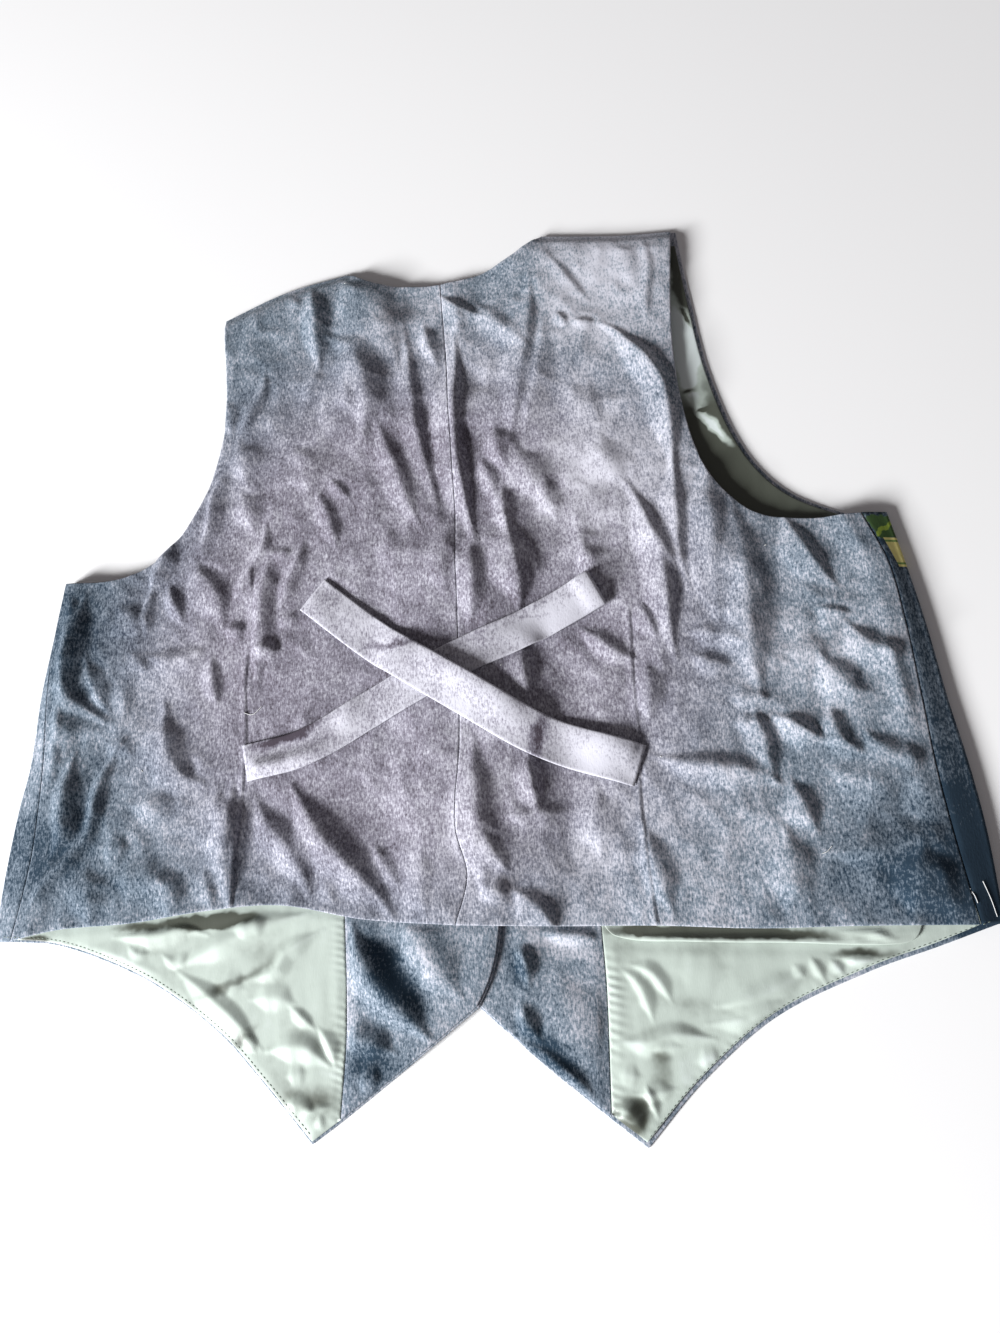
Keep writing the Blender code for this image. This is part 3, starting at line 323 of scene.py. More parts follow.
BACK_FOLDS = (
    # Left shoulder
    Fold(((-100, 473), (-96, 450), (-94, 425), (-91, 398)), 11, 10, 6, 0.15),
    Fold(((-92, 404), (-96, 386), (-105, 371)), 6, 7, 1.6, 0.22),
    Fold(((-118, 467), (-107, 453)), 4, 6, 1.6, 0.22),
    Fold(((-84, 424), (-68, 412), (-61, 396), (-57, 378), (-56, 358), (-58, 341)), 14, 18, 6, 0.22),
    Fold(((-77, 472), (-59, 454), (-46, 438), (-38, 415), (-33, 394)), 14, 24, 5.8, 0.43),
    Fold(((-50, 354), (-43, 335), (-35, 312), (-30, 295), (-23, 277), (-15, 262)), 7, 11, 3, 0.15),
    Fold(((-134, 405), (-134, 388), (-143, 371), (-149, 357), (-155, 343)), 6, 7, 3, 0.15),
    Fold(((-72, 386), (-71, 367), (-83, 350), (-93, 343)), 7, 17, 2.5, 0.29),
    Fold(((-166, 385), (-160, 368), (-158, 352)), 6, 6, 1.8, 0.29),
    # Below the left shoulder
    Fold(((-152, 332), (-164, 320), (-171, 306), (-172, 290), (-176, 274), (-186, 259)), 10, 4, 3.5, 0.15),
    Fold(((-198, 276), (-207, 260), (-213, 246), (-216, 234)), 11, 6, 5.5, 0.15),
    Fold(((-215, 246), (-218, 225), (-217, 202)), 6, 4, 2.2, 0.15),
    Fold(((-152, 346), (-148, 330), (-146, 314)), 13, 8, 3.2, 0.43),
    Fold(((-150, 306), (-144, 292), (-140, 277)), 10, 8, 2.8, 0.36),
    Fold(((-112, 339), (-100, 318), (-98, 300)), 11, 17, 2.5, 0.5),
    Fold(((-93, 302), (-86, 286), (-81, 270), (-77, 255)), 6, 8, 2.8, 0.22),
    Fold(((-84, 310), (-74, 299), (-68, 292)), 4, 6, 2.1, 0.15),
    Fold(((-130, 285), (-131, 264), (-139, 249), (-149, 232), (-157, 219)), 7, 6, 3, 0.15),
    Fold(((-101, 269), (-105, 254), (-111, 238), (-116, 223), (-120, 211)), 7, 7, 3, 0.15),
    Fold(((-122, 269), (-129, 245), (-132, 222), (-133, 200), (-134, 180), (-134, 159)), 10, 7, 3.8, 0.22),
    Fold(((-160, 205), (-142, 203)), 6, 7, 3, 0.22),
    Fold(((-137, 189), (-117, 186)), 7, 7, 4, 0.22),
    Fold(((-126, 257), (-110, 257)), 4, 6, 1.8, 0.22),
    Fold(((-122, 207), (-103, 208)), 6, 6, 1.8, 0.22),
    Fold(((-42, 269), (-40, 251), (-46, 237)), 8, 8, 1.8, 0.36),
    # Left side
    Fold(
        ((-266, 241), (-270, 218), (-277, 198), (-278, 184), (-271, 167), (-259, 156), (-246, 147)),
        13, 11, 7, 0.29,
    ),
    Fold(((-262, 193), (-257, 178), (-251, 165), (-243, 153)), 10, 7, 4.2, 0.15),
    Fold(((-292, 178), (-279, 173)), 6, 6, 3, 0.22),
    Fold(((-280, 246), (-277, 230), (-284, 212), (-286, 199)), 7, 7, 3.2, 0.29),
    Fold(((-240, 229), (-228, 218), (-222, 207)), 8, 13, 2.8, 0.36),
    Fold(((-203, 244), (-197, 228), (-189, 211)), 6, 7, 3.5, 0.15),
    Fold(((-182, 259), (-177, 246), (-168, 236), (-163, 222), (-160, 207)), 8, 17, 4, 0.29),
    Fold(((-217, 192), (-203, 187), (-188, 187), (-169, 193)), 8, 8, 2.8, 0.22),
    Fold(((-231, 195), (-222, 188), (-216, 179)), 6, 7, 2.1, 0.29),
    Fold(((-168, 188), (-166, 168), (-162, 151)), 6, 8, 3, 0.15),
    Fold(((-200, 154), (-199, 135), (-194, 118), (-184, 104), (-171, 99)), 11, 17, 5.8, 0.22),
    Fold(((-242, 120), (-233, 130), (-222, 120)), 6, 7, 2, 0.29),
    Fold(((-276, 173), (-274, 148), (-272, 125)), 13, 8, 3.5, 0.43),
    Fold(((-282, 181), (-282, 145), (-284, 115), (-288, 87)), 7, 6, 3.8, 0.15),
    Fold(((-266, 125), (-269, 105), (-270, 88), (-269, 72), (-279, 51)), 11, 8, 6.2, 0.29),
    Fold(
        ((-298, 8), (-284, 34), (-268, 50), (-252, 68), (-248, 88), (-243, 108), (-236, 122), (-223, 144)),
        6, 6, 3.8, 0.15,
    ),
    Fold(((-223, 88), (-205, 86), (-187, 88)), 8, 10, 2.5, 0.36),
    Fold(((-241, 60), (-221, 58)), 8, 10, 2.2, 0.36),
    Fold(((-252, 49), (-250, 30), (-246, 11)), 13, 11, 3.2, 0.43),
    Fold(((-233, 40), (-212, 38), (-191, 34)), 11, 11, 2.8, 0.43),
    Fold(((-197, 47), (-193, 30), (-190, 13)), 10, 11, 2.8, 0.36),
    Fold(((-168, 45), (-164, 30), (-160, 17)), 6, 10, 2.5, 0.22),
    Fold(((-160, 96), (-158, 70), (-157, 44)), 10, 13, 3.2, 0.36),
    # Centre, above the ties
    Fold(
        ((-28, 427), (-25, 400), (-23, 372), (-20, 345), (-15, 320), (-9, 296), (-4, 271)),
        6, 11, 3.5, 0.15,
    ),
    Fold(((10, 413), (10, 385), (8, 355), (9, 325), (12, 296), (17, 268), (22, 249)), 7, 18, 7.5, 0.08),
    Fold(((18, 257), (17, 236), (18, 215), (15, 189)), 8, 11, 4.5, 0.22),
    Fold(((-14, 425), (-10, 408), (-4, 389)), 8, 6, 3.5, 0.22),
    Fold(((14, 373), (18, 350), (20, 329)), 25, 8, 3.8, 0.5),
    Fold(((-1, 448), (7, 439), (17, 431), (32, 424)), 6, 10, 4, 0.15),
    Fold(((24, 438), (38, 421), (50, 407), (62, 395)), 8, 10, 3, 0.29),
    Fold(((12, 433), (13, 411)), 6, 8, 2.5, 0.22),
    Fold(((66, 456), (65, 425), (60, 395), (56, 370), (51, 345), (47, 321)), 6, 13, 3, 0.22),
    Fold(((74, 413), (71, 390), (66, 365), (61, 345), (57, 327)), 11, 7, 2.8, 0.29),
    Fold(((35, 337), (38, 318), (43, 301)), 11, 8, 4.2, 0.29),
    Fold(((50, 319), (54, 302), (64, 288), (69, 275)), 13, 11, 4.2, 0.43),
    Fold(((69, 293), (72, 276), (76, 261)), 7, 8, 2.5, 0.36),
    Fold(((24, 316), (31, 298), (35, 279)), 6, 8, 2.5, 0.15),
    Fold(((40, 293), (40, 272), (43, 253)), 7, 7, 3.5, 0.22),
    Fold(((42, 267), (46, 248), (49, 226), (49, 199)), 8, 17, 6, 0.15),
    Fold(((52, 253), (57, 238), (62, 225)), 4, 6, 2.2, 0.15),
    Fold(((49, 181), (50, 158), (51, 135)), 7, 11, 3.8, 0.22),
    Fold(((2, 263), (-2, 238), (0, 211)), 7, 11, 2, 0.29),
    Fold(((92, 241), (97, 225), (103, 206)), 13, 8, 4, 0.36),
    # Right shoulder and arm
    Fold(((79, 469), (88, 455), (98, 438), (109, 423)), 4, 7, 1.5, 0.15),
    Fold(((83, 420), (91, 406)), 4, 6, 2.1, 0.08),
    Fold(((95, 409), (111, 407)), 4, 6, 2.1, 0.08),
    Fold(((148, 475), (151, 448), (148, 425), (147, 397)), 4, 7, 1.5, 0.22),
    Fold(((130, 469), (138, 448), (142, 429)), 6, 10, 1.5, 0.36),
    Fold(
        ((114, 406), (124, 398), (134, 385), (146, 368), (154, 350), (156, 320), (156, 285)),
        8, 13, 6.2, 0.15,
    ),
    Fold(((156, 298), (155, 262), (154, 230), (159, 204)), 6, 11, 4.5, 0.15),
    Fold(
        ((124, 283), (130, 270), (136, 252), (142, 232), (144, 208), (144, 182), (147, 158)),
        8, 14, 6, 0.15,
    ),
    Fold(((177, 291), (176, 262), (176, 235), (175, 205), (175, 179)), 13, 18, 5.8, 0.22),
    Fold(((190, 263), (193, 235), (194, 208), (192, 182), (193, 155), (197, 128)), 14, 13, 6.2, 0.29),
    Fold(((108, 319), (114, 300), (122, 283)), 11, 14, 2.8, 0.43),
    Fold(((90, 253), (94, 240), (100, 227)), 10, 11, 2.2, 0.43),
    Fold(((88, 360), (100, 345), (108, 330)), 10, 13, 2, 0.43),
    # Right, beside the ties
    Fold(((86, 184), (98, 175), (108, 166), (123, 159)), 7, 8, 3.8, 0.22),
    Fold(((126, 198), (131, 186), (136, 172)), 4, 10, 3, 0.08),
    Fold(((127, 159), (128, 140), (126, 119)), 8, 8, 3.5, 0.29),
    Fold(((155, 176), (172, 172), (191, 164)), 7, 8, 3.2, 0.22),
    Fold(((156, 160), (165, 155), (181, 150)), 6, 8, 2.8, 0.22),
    Fold(((176, 130), (201, 128)), 7, 6, 2.5, 0.22),
    Fold(((178, 114), (198, 113)), 6, 7, 2.8, 0.22),
    Fold(((192, 122), (195, 105), (196, 90), (200, 75)), 7, 10, 4, 0.22),
    Fold(((200, 118), (211, 112), (221, 105), (234, 97)), 6, 10, 4.5, 0.15),
    Fold(((128, 97), (145, 91), (165, 87), (185, 84), (204, 74)), 8, 11, 5, 0.22),
    # Right side
    Fold(((222, 248), (230, 229), (239, 211), (250, 196)), 7, 13, 4.8, 0.15),
    Fold(((234, 184), (245, 180), (257, 178)), 4, 10, 2.8, 0.15),
    Fold(((252, 173), (261, 159), (272, 152), (289, 150)), 8, 13, 5, 0.22),
    Fold(((234, 153), (241, 139), (250, 130), (261, 127)), 11, 11, 4.8, 0.29),
    Fold(((208, 178), (225, 176), (240, 178)), 8, 8, 1.5, 0.36),
    Fold(((212, 158), (228, 156), (242, 160)), 10, 8, 2, 0.36),
    Fold(((276, 147), (280, 130), (284, 111)), 10, 8, 2.5, 0.36),
    Fold(((236, 121), (237, 106), (245, 95)), 8, 8, 4, 0.22),
    Fold(((254, 104), (262, 93), (273, 86), (291, 84)), 8, 11, 4.5, 0.29),
    Fold(((231, 101), (243, 95), (255, 88)), 6, 7, 2.5, 0.15),
    Fold(((231, 82), (250, 74), (276, 74)), 10, 13, 3.8, 0.36),
    Fold(((224, 32), (250, 33), (280, 40), (297, 44)), 11, 11, 4.2, 0.29),
    Fold(((277, 35), (274, 14), (268, -7)), 20, 11, 5.2, 0.43),
    Fold(((208, 77), (213, 62), (220, 45)), 8, 11, 4.8, 0.22),
    Fold(((202, 47), (203, 25), (199, -1)), 11, 11, 4, 0.36),
    # Below the ties
    Fold(((-108, 93), (-93, 67), (-80, 50), (-67, 36), (-52, 22), (-41, 7)), 13, 15, 7, 0.22),
    Fold(((-134, 87), (-124, 69), (-110, 53), (-102, 40), (-96, 23)), 10, 13, 5, 0.22),
    Fold(((-54, 53), (-46, 38), (-35, 23)), 6, 8, 2.8, 0.22),
    Fold(((-150, 99), (-150, 70), (-152, 40), (-148, 17)), 10, 11, 4.8, 0.29),
    Fold(((-88, 33), (-79, 17)), 6, 7, 2.5, 0.22),
    Fold(((-20, 49), (-22, 25), (-18, 5)), 7, 10, 2, 0.36),
    Fold(((15, 115), (14, 88), (15, 62), (18, 40), (19, 17)), 11, 13, 5.5, 0.36),
    Fold(((20, 55), (27, 40), (34, 31)), 7, 7, 3, 0.22),
    Fold(((16, 24), (28, 18), (37, 18)), 8, 7, 3.2, 0.29),
    Fold(((50, 105), (51, 86), (55, 65)), 6, 11, 4.2, 0.15),
    Fold(((33, 64), (50, 65), (71, 66)), 7, 8, 3, 0.22),
    Fold(((36, 20), (47, 12), (55, 4), (62, -5)), 7, 11, 4.2, 0.22),
    Fold(((118, 55), (121, 38), (126, 20), (131, 1)), 10, 8, 4, 0.29),
    Fold(((90, 81), (90, 58), (91, 37)), 10, 11, 2.8, 0.43),
    # The hem stands up a little over the left lining
    Fold(((-222, 6), (-170, 12), (-112, 14)), 21, 21, 2.6, 0.5),
)

LEFT_LINING_REST = 0.5
LEFT_LINING_FOLDS = (
    Fold(((-188, -19), (-165, -9), (-130, 4), (-98, 12)), 7, 8, 3.2, 0.36),
    Fold(((-150, -5), (-125, -8), (-98, 3)), 10, 8, -0.5, 0.5),
    Fold(((-186, -21), (-165, -36), (-148, -50), (-128, -70)), 7, 11, 2.4, 0.08),
    Fold(((-141, -28), (-120, -23), (-112, -12), (-88, 1)), 6, 7, 2.2, 0.15),
    Fold(((-136, -40), (-120, -39), (-106, -44)), 8, 7, 1.8, 0.29),
    Fold(((-110, -44), (-101, -52), (-93, -59)), 4, 6, 1.6, 0.08),
    Fold(((-124, -71), (-112, -69), (-100, -69), (-84, -80)), 7, 8, 3.0, 0.29),
    Fold(((-91, -58), (-84, -68), (-80, -80)), 6, 4, 2.0, 0.15),
    Fold(((-141, -60), (-131, -72)), 4, 4, 1.4, 0.22),
    Fold(((-114, -104), (-104, -102), (-93, -107)), 6, 6, 1.8, 0.22),
    Fold(((-104, -113), (-94, -106), (-80, -103)), 4, 4, 1.4, 0.08),
    Fold(((-90, -107), (-88, -118)), 3, 4, 1.0, 0.15),
    Fold(((-222, -3), (-215, -9), (-205, -10)), 4, 4, 1.2, 0.22),
    Fold(((-198, -10), (-188, -16), (-178, -8)), 4, 4, 1.3, 0.22),
    Fold(((-232, 2), (-200, 2), (-180, 5), (-166, 1)), 4, 8, 2.6, 0.22),
    Fold(((-150, 4), (-136, 6), (-124, 9)), 4, 7, 2.0, 0.29),
    Fold(((-250, -4), (-225, -12), (-200, -22)), 8, 8, 1.0, 0.36),
    Fold(((-112, -86), (-98, -84)), 6, 6, 1.0, 0.29),
    Fold(((-160, -28), (-140, -34)), 8, 8, 1.0, 0.36),
)
RIGHT_LINING_REST = 0.5
RIGHT_LINING_FOLDS = (
    Fold(((103, -27), (115, -31), (122, -40), (127, -50)), 6, 4, 1.8, 0.15),
    Fold(((98, -29), (108, -38), (113, -52), (115, -60)), 6, 4, 1.8, 0.15),
    Fold(((92, -70), (112, -71), (127, -67), (150, -70)), 6, 8, 2.6, 0.22),
    Fold(((112, -75), (132, -74)), 4, 4, 1.0, 0.15),
    Fold(((146, -62), (165, -60), (182, -56), (198, -48)), 6, 7, 2.0, 0.22),
    Fold(((152, -52), (172, -49), (190, -42), (206, -33)), 7, 8, 2.2, 0.29),
    Fold(((208, -26), (215, -40)), 4, 4, 1.4, 0.15),
    Fold(((219, -28), (226, -37)), 4, 4, 1.2, 0.15),
    Fold(((198, -30), (204, -38)), 4, 4, 1.0, 0.15),
    Fold(((224, -27), (236, -29), (247, -28)), 7, 4, 1.8, 0.22),
    Fold(((138, -82), (154, -80)), 6, 6, 1.2, 0.29),
    Fold(((101, -100), (112, -99), (126, -97)), 6, 4, 1.8, 0.15),
    Fold(((108, -94), (111, -104), (114, -113)), 4, 3, 1.6, 0.08),
    Fold(((90, -104), (98, -110), (104, -119)), 7, 13, 3.4, 0.29),
    Fold(((92, -88), (106, -90)), 6, 6, 1.0, 0.22),
    Fold(((130, -30), (160, -32)), 11, 11, 0.8, 0.5),
    Fold(((265, -21), (280, -19), (292, -16)), 4, 6, 1.0, 0.22),
)
BACK_LINING_FOLDS = (
    Fold(((84, -6), (96, -10), (140, -14), (200, -17), (246, -20)), 3, 4, 2.6, 0.22),
    Fold(((216, -10), (243, -13), (255, -18), (262, -19)), 3, 4, 2.0, 0.22),
    Fold(((276, -8), (282, -2)), 4, 4, 1.0, 0.22),
)
LEFT_FACING_REST = 0.8
LEFT_FACING_FOLDS = (
    Fold(((-70, 2), (-63, -16), (-48, -38), (-30, -56), (-20, -66)), 14, 11, 8.7, 0.43),
    Fold(((-52, 8), (-46, -12), (-32, -32), (-14, -50), (-8, -56)), 10, 13, -1.5, 0.5),
    Fold(((-36, 6), (-18, -20), (0, -42)), 13, 13, 4.5, 0.5),
    Fold(((-78, -62), (-60, -66), (-42, -74)), 10, 8, 4.5, 0.36),
    Fold(((-66, -88), (-50, -90)), 8, 8, 2.2, 0.36),
)
RIGHT_FACING_REST = 0.6
RIGHT_FACING_FOLDS = (
    Fold(((30, -16), (40, -20), (42, -38)), 6, 6, 4.2, 0.22),
    Fold(((22, -55), (36, -55), (48, -69)), 7, 7, 4.5, 0.29),
    Fold(((36, -68), (60, -88), (82, -106)), 6, 8, 3.8, 0.36),
    Fold(((50, -6), (70, -8), (88, -12)), 7, 6, 3.1, 0.29),
    Fold(((60, -30), (66, -55), (80, -84)), 17, 17, 2.7, 0.5),
)
# Puckers along a sewn edge: the line, their spacing, how far they reach and their height
Puckers = namedtuple("Puckers", "line spacing reach height")

# Ties: the middle line from the root in the dart to the free end, and the places where the
# strip lifts, as (along, across, reach along, reach across, height), across from -1 to 1
Tie = namedtuple("Tie", "name path width lifts")
TIES = (
    Tie(
        "tie_left",
        ((-141, 110), (-100, 118), (-50, 142), (10, 170), (50, 185), (100, 209)),
        25.0,
        (
            (20, -0.45, 40, 0.45, 5.0),
            (78, 0.5, 16, 0.9, 3.2),
            (110, 0.6, 20, 1.0, 1.2),
            (205, -0.4, 8, 0.8, 1.0),
            (224, 0.5, 8, 0.7, 1.2),
            (252, 0.1, 26, 1.6, 4.4),
        ),
    ),
    Tie(
        "tie_right",
        ((119, 91), (60, 113), (10, 145), (-20, 165), (-50, 186), (-95, 224)),
        27.0,
        (
            (26, -0.8, 24, 1.1, 5.2),
            (96, -0.8, 28, 1.1, 4.8),
            (140, -0.8, 30, 1.1, 4.6),
            (176, 0.0, 10, 1.6, 2.0),
            (212, -0.3, 12, 0.9, 1.0),
            (240, 0.4, 14, 0.9, 1.2),
        ),
    ),
)
TIE_ROOT = 24.0  # the length over which a tie thickens from its dart
TIE_FIXED = 9.0  # the length over which it begins to stand up
TIE_REACH = 12.0  # the length over which it bridges a hollow
TIE_SAG, TIE_SAG_POWER, TIE_SAG_ACROSS = 0.02, 1.5, 0.3  # how it drops away from what carries it
TIE_BED_ROOT, TIE_BED_REST = 0.08, 0.22  # its gap to the cloth below at the root, and more beyond
TIE_COLUMNS = 17
TIE_RIM, TIE_END_RIM = 1.2, 1.5  # how far in from its sides and its end a tie is rounded
TIE_RIM_SHARE, TIE_ROOT_SHARE = 0.35, 0.25  # share of its thickness at its rims and at its root

# Camera: fitted to the photograph, in plan metres
CAMERA_PLACE = (0.135419, -0.006860, 0.635115)
CAMERA_AZIMUTH = -0.543018
CAMERA_TILT = 0.305632
CAMERA_ROLL = -0.605290
CAMERA_FOCAL = 1006.669
IMAGE_HEIGHT = 1333
SENSOR = 36.0

# Key light: low on the left and a little towards the hem, in degrees and metres
KEY_FROM = 215.0
KEY_RISE = 23.0
KEY_AWAY = 3.5
KEY_SIZE = 1.1
KEY_COLOUR = (0.985, 0.99, 1.0)
SKY_COLOUR = (1.0, 0.93, 0.95)


# ---------------------------------------------------------------- plan geometry


def smooth(t):
    """0 below 0, 1 above 1, and a soft S between."""
    t = np.clip(t, 0.0, 1.0)
    return t * t * (3 - 2 * t)


def slope(value, start_and_length):
    """A soft rise from 0 to 1 that begins at a place and has a length."""
    start, length = start_and_length
    return smooth((value - start) / length)


def curve(points, step):
    """Points about step apart on a smooth curve through the given ones, both ends included."""
    given = np.array(points, float)
    if len(given) == 2:
        fine = given
    else:
        ends = (2 * given[0] - given[1], 2 * given[-1] - given[-2])
        p = np.vstack([ends[0], given, ends[1]])
        t = np.linspace(0, 1, 24, endpoint=False)[:, None]
        spans = []
        for a, b, c, d in zip(p[:-3], p[1:-2], p[2:-1], p[3:]):
            reach = np.linalg.norm(c - b)
            into = reach * (c - a) / (np.linalg.norm(b - a) + reach)
            out = reach * (d - b) / (np.linalg.norm(d - c) + reach)
            spans.append(
                b * (1 - t) ** 2 * (1 + 2 * t)
                + c * t * t * (3 - 2 * t)
                + into * t * (1 - t) ** 2
                - out * t * t * (1 - t)
            )
        fine = np.vstack(spans + [given[-1:]])
    along = np.concatenate([[0], np.cumsum(np.linalg.norm(np.diff(fine, axis=0), axis=1))])
    count = max(2, round(along[-1] / step) + 1)
    at = np.linspace(0, along[-1], count)
    return np.stack([np.interp(at, along, fine[:, k]) for k in range(2)], axis=1)


def outline(step, *runs):
    """A closed outline, anticlockwise, from (points, inset) runs that meet end to end."""
    spots, insets = [], []
    for points, inset in runs:
        sampled = points if isinstance(points, np.ndarray) else curve(points, step)
        sampled = sampled[:-1]
        spots.append(sampled)
        insets += [inset] * len(sampled)
    return shifted(np.vstack(spots), np.array(insets, float))


def shifted(spots, insets):
    """The outline with each side moved inward by its inset."""
    edge = np.roll(spots, -1, axis=0) - spots
    normal = np.stack([-edge[:, 1], edge[:, 0]], axis=1) / np.linalg.norm(edge, axis=1)[:, None]
    moved = []
    for k in range(len(spots)):
        pair = np.array([normal[k - 1], normal[k]])
        want = np.array([insets[k - 1], insets[k]])
        if abs(np.linalg.det(pair)) > 0.25:
            shift = np.linalg.solve(pair, want)
        else:
            shift = (pair * want[:, None]).mean(axis=0)
        moved.append(spots[k] + shift)
    return np.array(moved)


def to_segments(points, path):
    """For each point: how far along the path its nearest spot is, the side it lies on, and how far."""
    points, path = np.asarray(points, float), np.asarray(path, float)
    lengths = np.linalg.norm(np.diff(path, axis=0), axis=1)
    starts = np.concatenate([[0], np.cumsum(lengths)])
    best = np.full(len(points), np.inf)
    along = np.zeros(len(points))
    side = np.zeros(len(points))
    for a, b, start, length in zip(path[:-1], path[1:], starts, lengths):
        run = (b - a) / length
        local = points - a
        s = np.clip(local @ run, 0, length)
        away = np.linalg.norm(local - s[:, None] * run, axis=1)
        nearer = away < best
        best = np.where(nearer, away, best)
        along = np.where(nearer, start + s, along)
        side = np.where(nearer, run[0] * local[:, 1] - run[1] * local[:, 0], side)
    return along, side, best, starts[-1]


def folds(points, table, rest):
    """The height of the cloth over its flat level: the rest height with each fold added."""
    height = np.zeros(len(points)) + rest
    for fold in table:
        path = curve(fold.path, 5.0)
        reach = (1 + 2 * fold.round) * max(fold.left, fold.right)
        near = np.all((points > path.min(axis=0) - reach) & (points < path.max(axis=0) + reach), axis=1)
        along, side, away, length = to_segments(points[near], path)
        taper = FOLD_TAPER * length
        ends = smooth(along / taper) * smooth((length - along) / taper)
        width = np.where(side > 0, fold.left, fold.right) * (FOLD_END_WIDTH + (1 - FOLD_END_WIDTH) * ends)
        flank = 1 + fold.round - np.sqrt((away / width) ** 2 + fold.round**2)
        foot = np.clip(flank + fold.round, 0, None) ** 2 / (4 * fold.round)
        shape = np.where(flank > fold.round, flank, foot)
        height[near] += fold.height * shape * (FOLD_END_HEIGHT + (1 - FOLD_END_HEIGHT) * ends)
    return np.logaddexp(0, FLOOR_SOFTNESS * height) / FLOOR_SOFTNESS


def directions(line):
    """The unit steps along a line at each of its points, and the ones across it to the left."""
    run = np.gradient(line, axis=0)
    run /= np.linalg.norm(run, axis=1)[:, None]
    return run, np.stack([-run[:, 1], run[:, 0]], axis=1)


def rim_share(inward, least):
    """The share of its thickness that cloth has near its edge: rounded from the least to the whole."""
    return least + (1 - least) * np.sqrt(1 - (1 - np.clip(inward, 0, 1)) ** 2)


def ripple(points, length, seed):
    """Soft unevenness from -1 to 1 with the given wave length."""
    return np.array([noise.noise(Vector((x / length, y / length, seed))) for x, y in points])


def closing_rise(points, over_both):
    """The lift over the buttons and, for the layers above it, over the right front's edge."""
    x, y = points[:, 0], points[:, 1]
    band = 1 - slope(np.abs(x - OVERLAP_X), BUTTON_BAND)
    span = slope(y, BUTTON_SPAN_LOW) * (1 - slope(y, BUTTON_SPAN_HIGH))
    buttons = BUTTON_RISE * band * span
    if not over_both:
        return buttons
    return buttons + OVERLAP_RISE * slope(x, OVERLAP_RAMP) * (1 - slope(y, OVERLAP_TOP))


def neck_drop(points):
    """How far the back sinks between the fronts' neck edges, where no front lies under it."""
    x, y = points[:, 0], points[:, 1]
    left = np.array(LEFT_NECK, float)
    right = np.array(RIGHT_NECK, float)[::-1]
    between = np.minimum(
        x - np.interp(y, left[:, 1], left[:, 0]), np.interp(y, right[:, 1], right[:, 0]) - x
    )
    return (LEVEL_BACK_LINING - LAYER_GAP) * slope(between, NECK_SINK_SIDES) * slope(y, NECK_SINK)


def over_fronts(points):
    """The lift of the back and its lining over the closing, less their sag at the neck."""
    both, one = closing_rise(points, True), closing_rise(points, False)
    return one + (both - one) * (1 - slope(points[:, 0], OVERLAP_FALL)) - neck_drop(points)


def side_at(table, column, y):
    """The plan x of a side table's seam or fold at each y."""
    rows = sorted(table, key=lambda row: row.y)
    line = curve([(getattr(row, column), row.y) for row in rows], 4.0)
    return np.interp(y, line[:, 1], line[:, 0])


def side_run(step, table, column, outward, inset, upward):
    """A side of an outline, at the heights that both panels share there, moved inward by inset."""
    ends = [row.y for row in table]
    count = round((max(ends) - min(ends)) / step) + 1
    y = np.linspace(min(ends), max(ends), count)
    run = np.stack([side_at(table, column, y) - outward * inset, y], axis=1)
    return run if upward else run[::-1]


def back_height(points):
    """The underside of the two backs: over the closing, down at the shoulders, up at the sides."""
    x, y = points[:, 0], points[:, 1]
    to_shoulder = np.minimum(
        to_segments(points, SHOULDER_LEFT)[2], to_segments(points, SHOULDER_RIGHT)[2]
    )
    to_side = np.minimum(
        x - side_at(LEFT_SIDE, "seam", y), side_at(RIGHT_SIDE, "seam", y) - x
    )
    free = smooth(to_side / FLAT_BY_SIDE) * smooth(to_shoulder / FLAT_BY_SHOULDER)
    lift = SIDE_LIFT * np.exp(-((to_side / SIDE_LIFT_REACH) ** 2))
    shoulder = (LEVEL_BACK - LEVEL_FACING) * (1 - smooth(to_shoulder / SEAM_ROW))
    level = np.minimum(over_fronts(points), -shoulder)
    level = np.where(to_shoulder < SEAM_ROW, level, over_fronts(points))
    to_edge = np.min([to_segments(points, curve(edge, 10.0))[2] for edge in BACK_EDGES], axis=0)
    rest = BACK_EDGE_REST + (BACK_REST - BACK_EDGE_REST) * smooth(to_edge / BACK_REST_REACH)
    crumple = sum(
        tall * (0.5 - np.abs(ripple(points, spacing, seed))) for tall, spacing, seed in CRUMPLES
    )
    sewing = sum(dart_line(points, dart) for dart in DARTS)
    relief = folds(points, BACK_FOLDS, rest) + np.clip(crumple, 0, None) + sewing
    return LEVEL_BACK + level + lift + free * relief


def dart_line(points, dart):
    """A dart's stitched line: a fine groove with the ridge of its allowance beside it."""
    _, side, away, _ = to_segments(points, curve(dart, 6.0))
    across = np.where(side < 0, away, -away)
    ridge = DART_RIDGE * np.exp(-(((across - DART_RIDGE_AT) / DART_RIDGE_WIDTH) ** 2))
    return ridge - DART_GROOVE * np.exp(-((across / DART_GROOVE_WIDTH) ** 2))


def hem_at(x):
    """The plan y of the back's hem at each x."""
    hem = np.array(BACK_HEM_LEFT + BACK_HEM_RIGHT[1:], float)
    return np.interp(x, hem[:, 0], hem[:, 1])


def below_hem(points, table, rest, edges, sewn=()):
    """Folds of an inner layer where it shows below the back's hem, flat at its edges."""
    shown = smooth((hem_at(points[:, 0]) + UNDER_HEM - points[:, 1]) / FLAT_BY_HEM)
    away = np.min([to_segments(points, curve(edge, 12.0))[2] for edge in edges], axis=0)
    relief = smooth(away / FLAT_BY_EDGE) * folds(points, table, rest)
    for row in sewn:
        relief = relief + puckered(points, row)
    return shown * relief


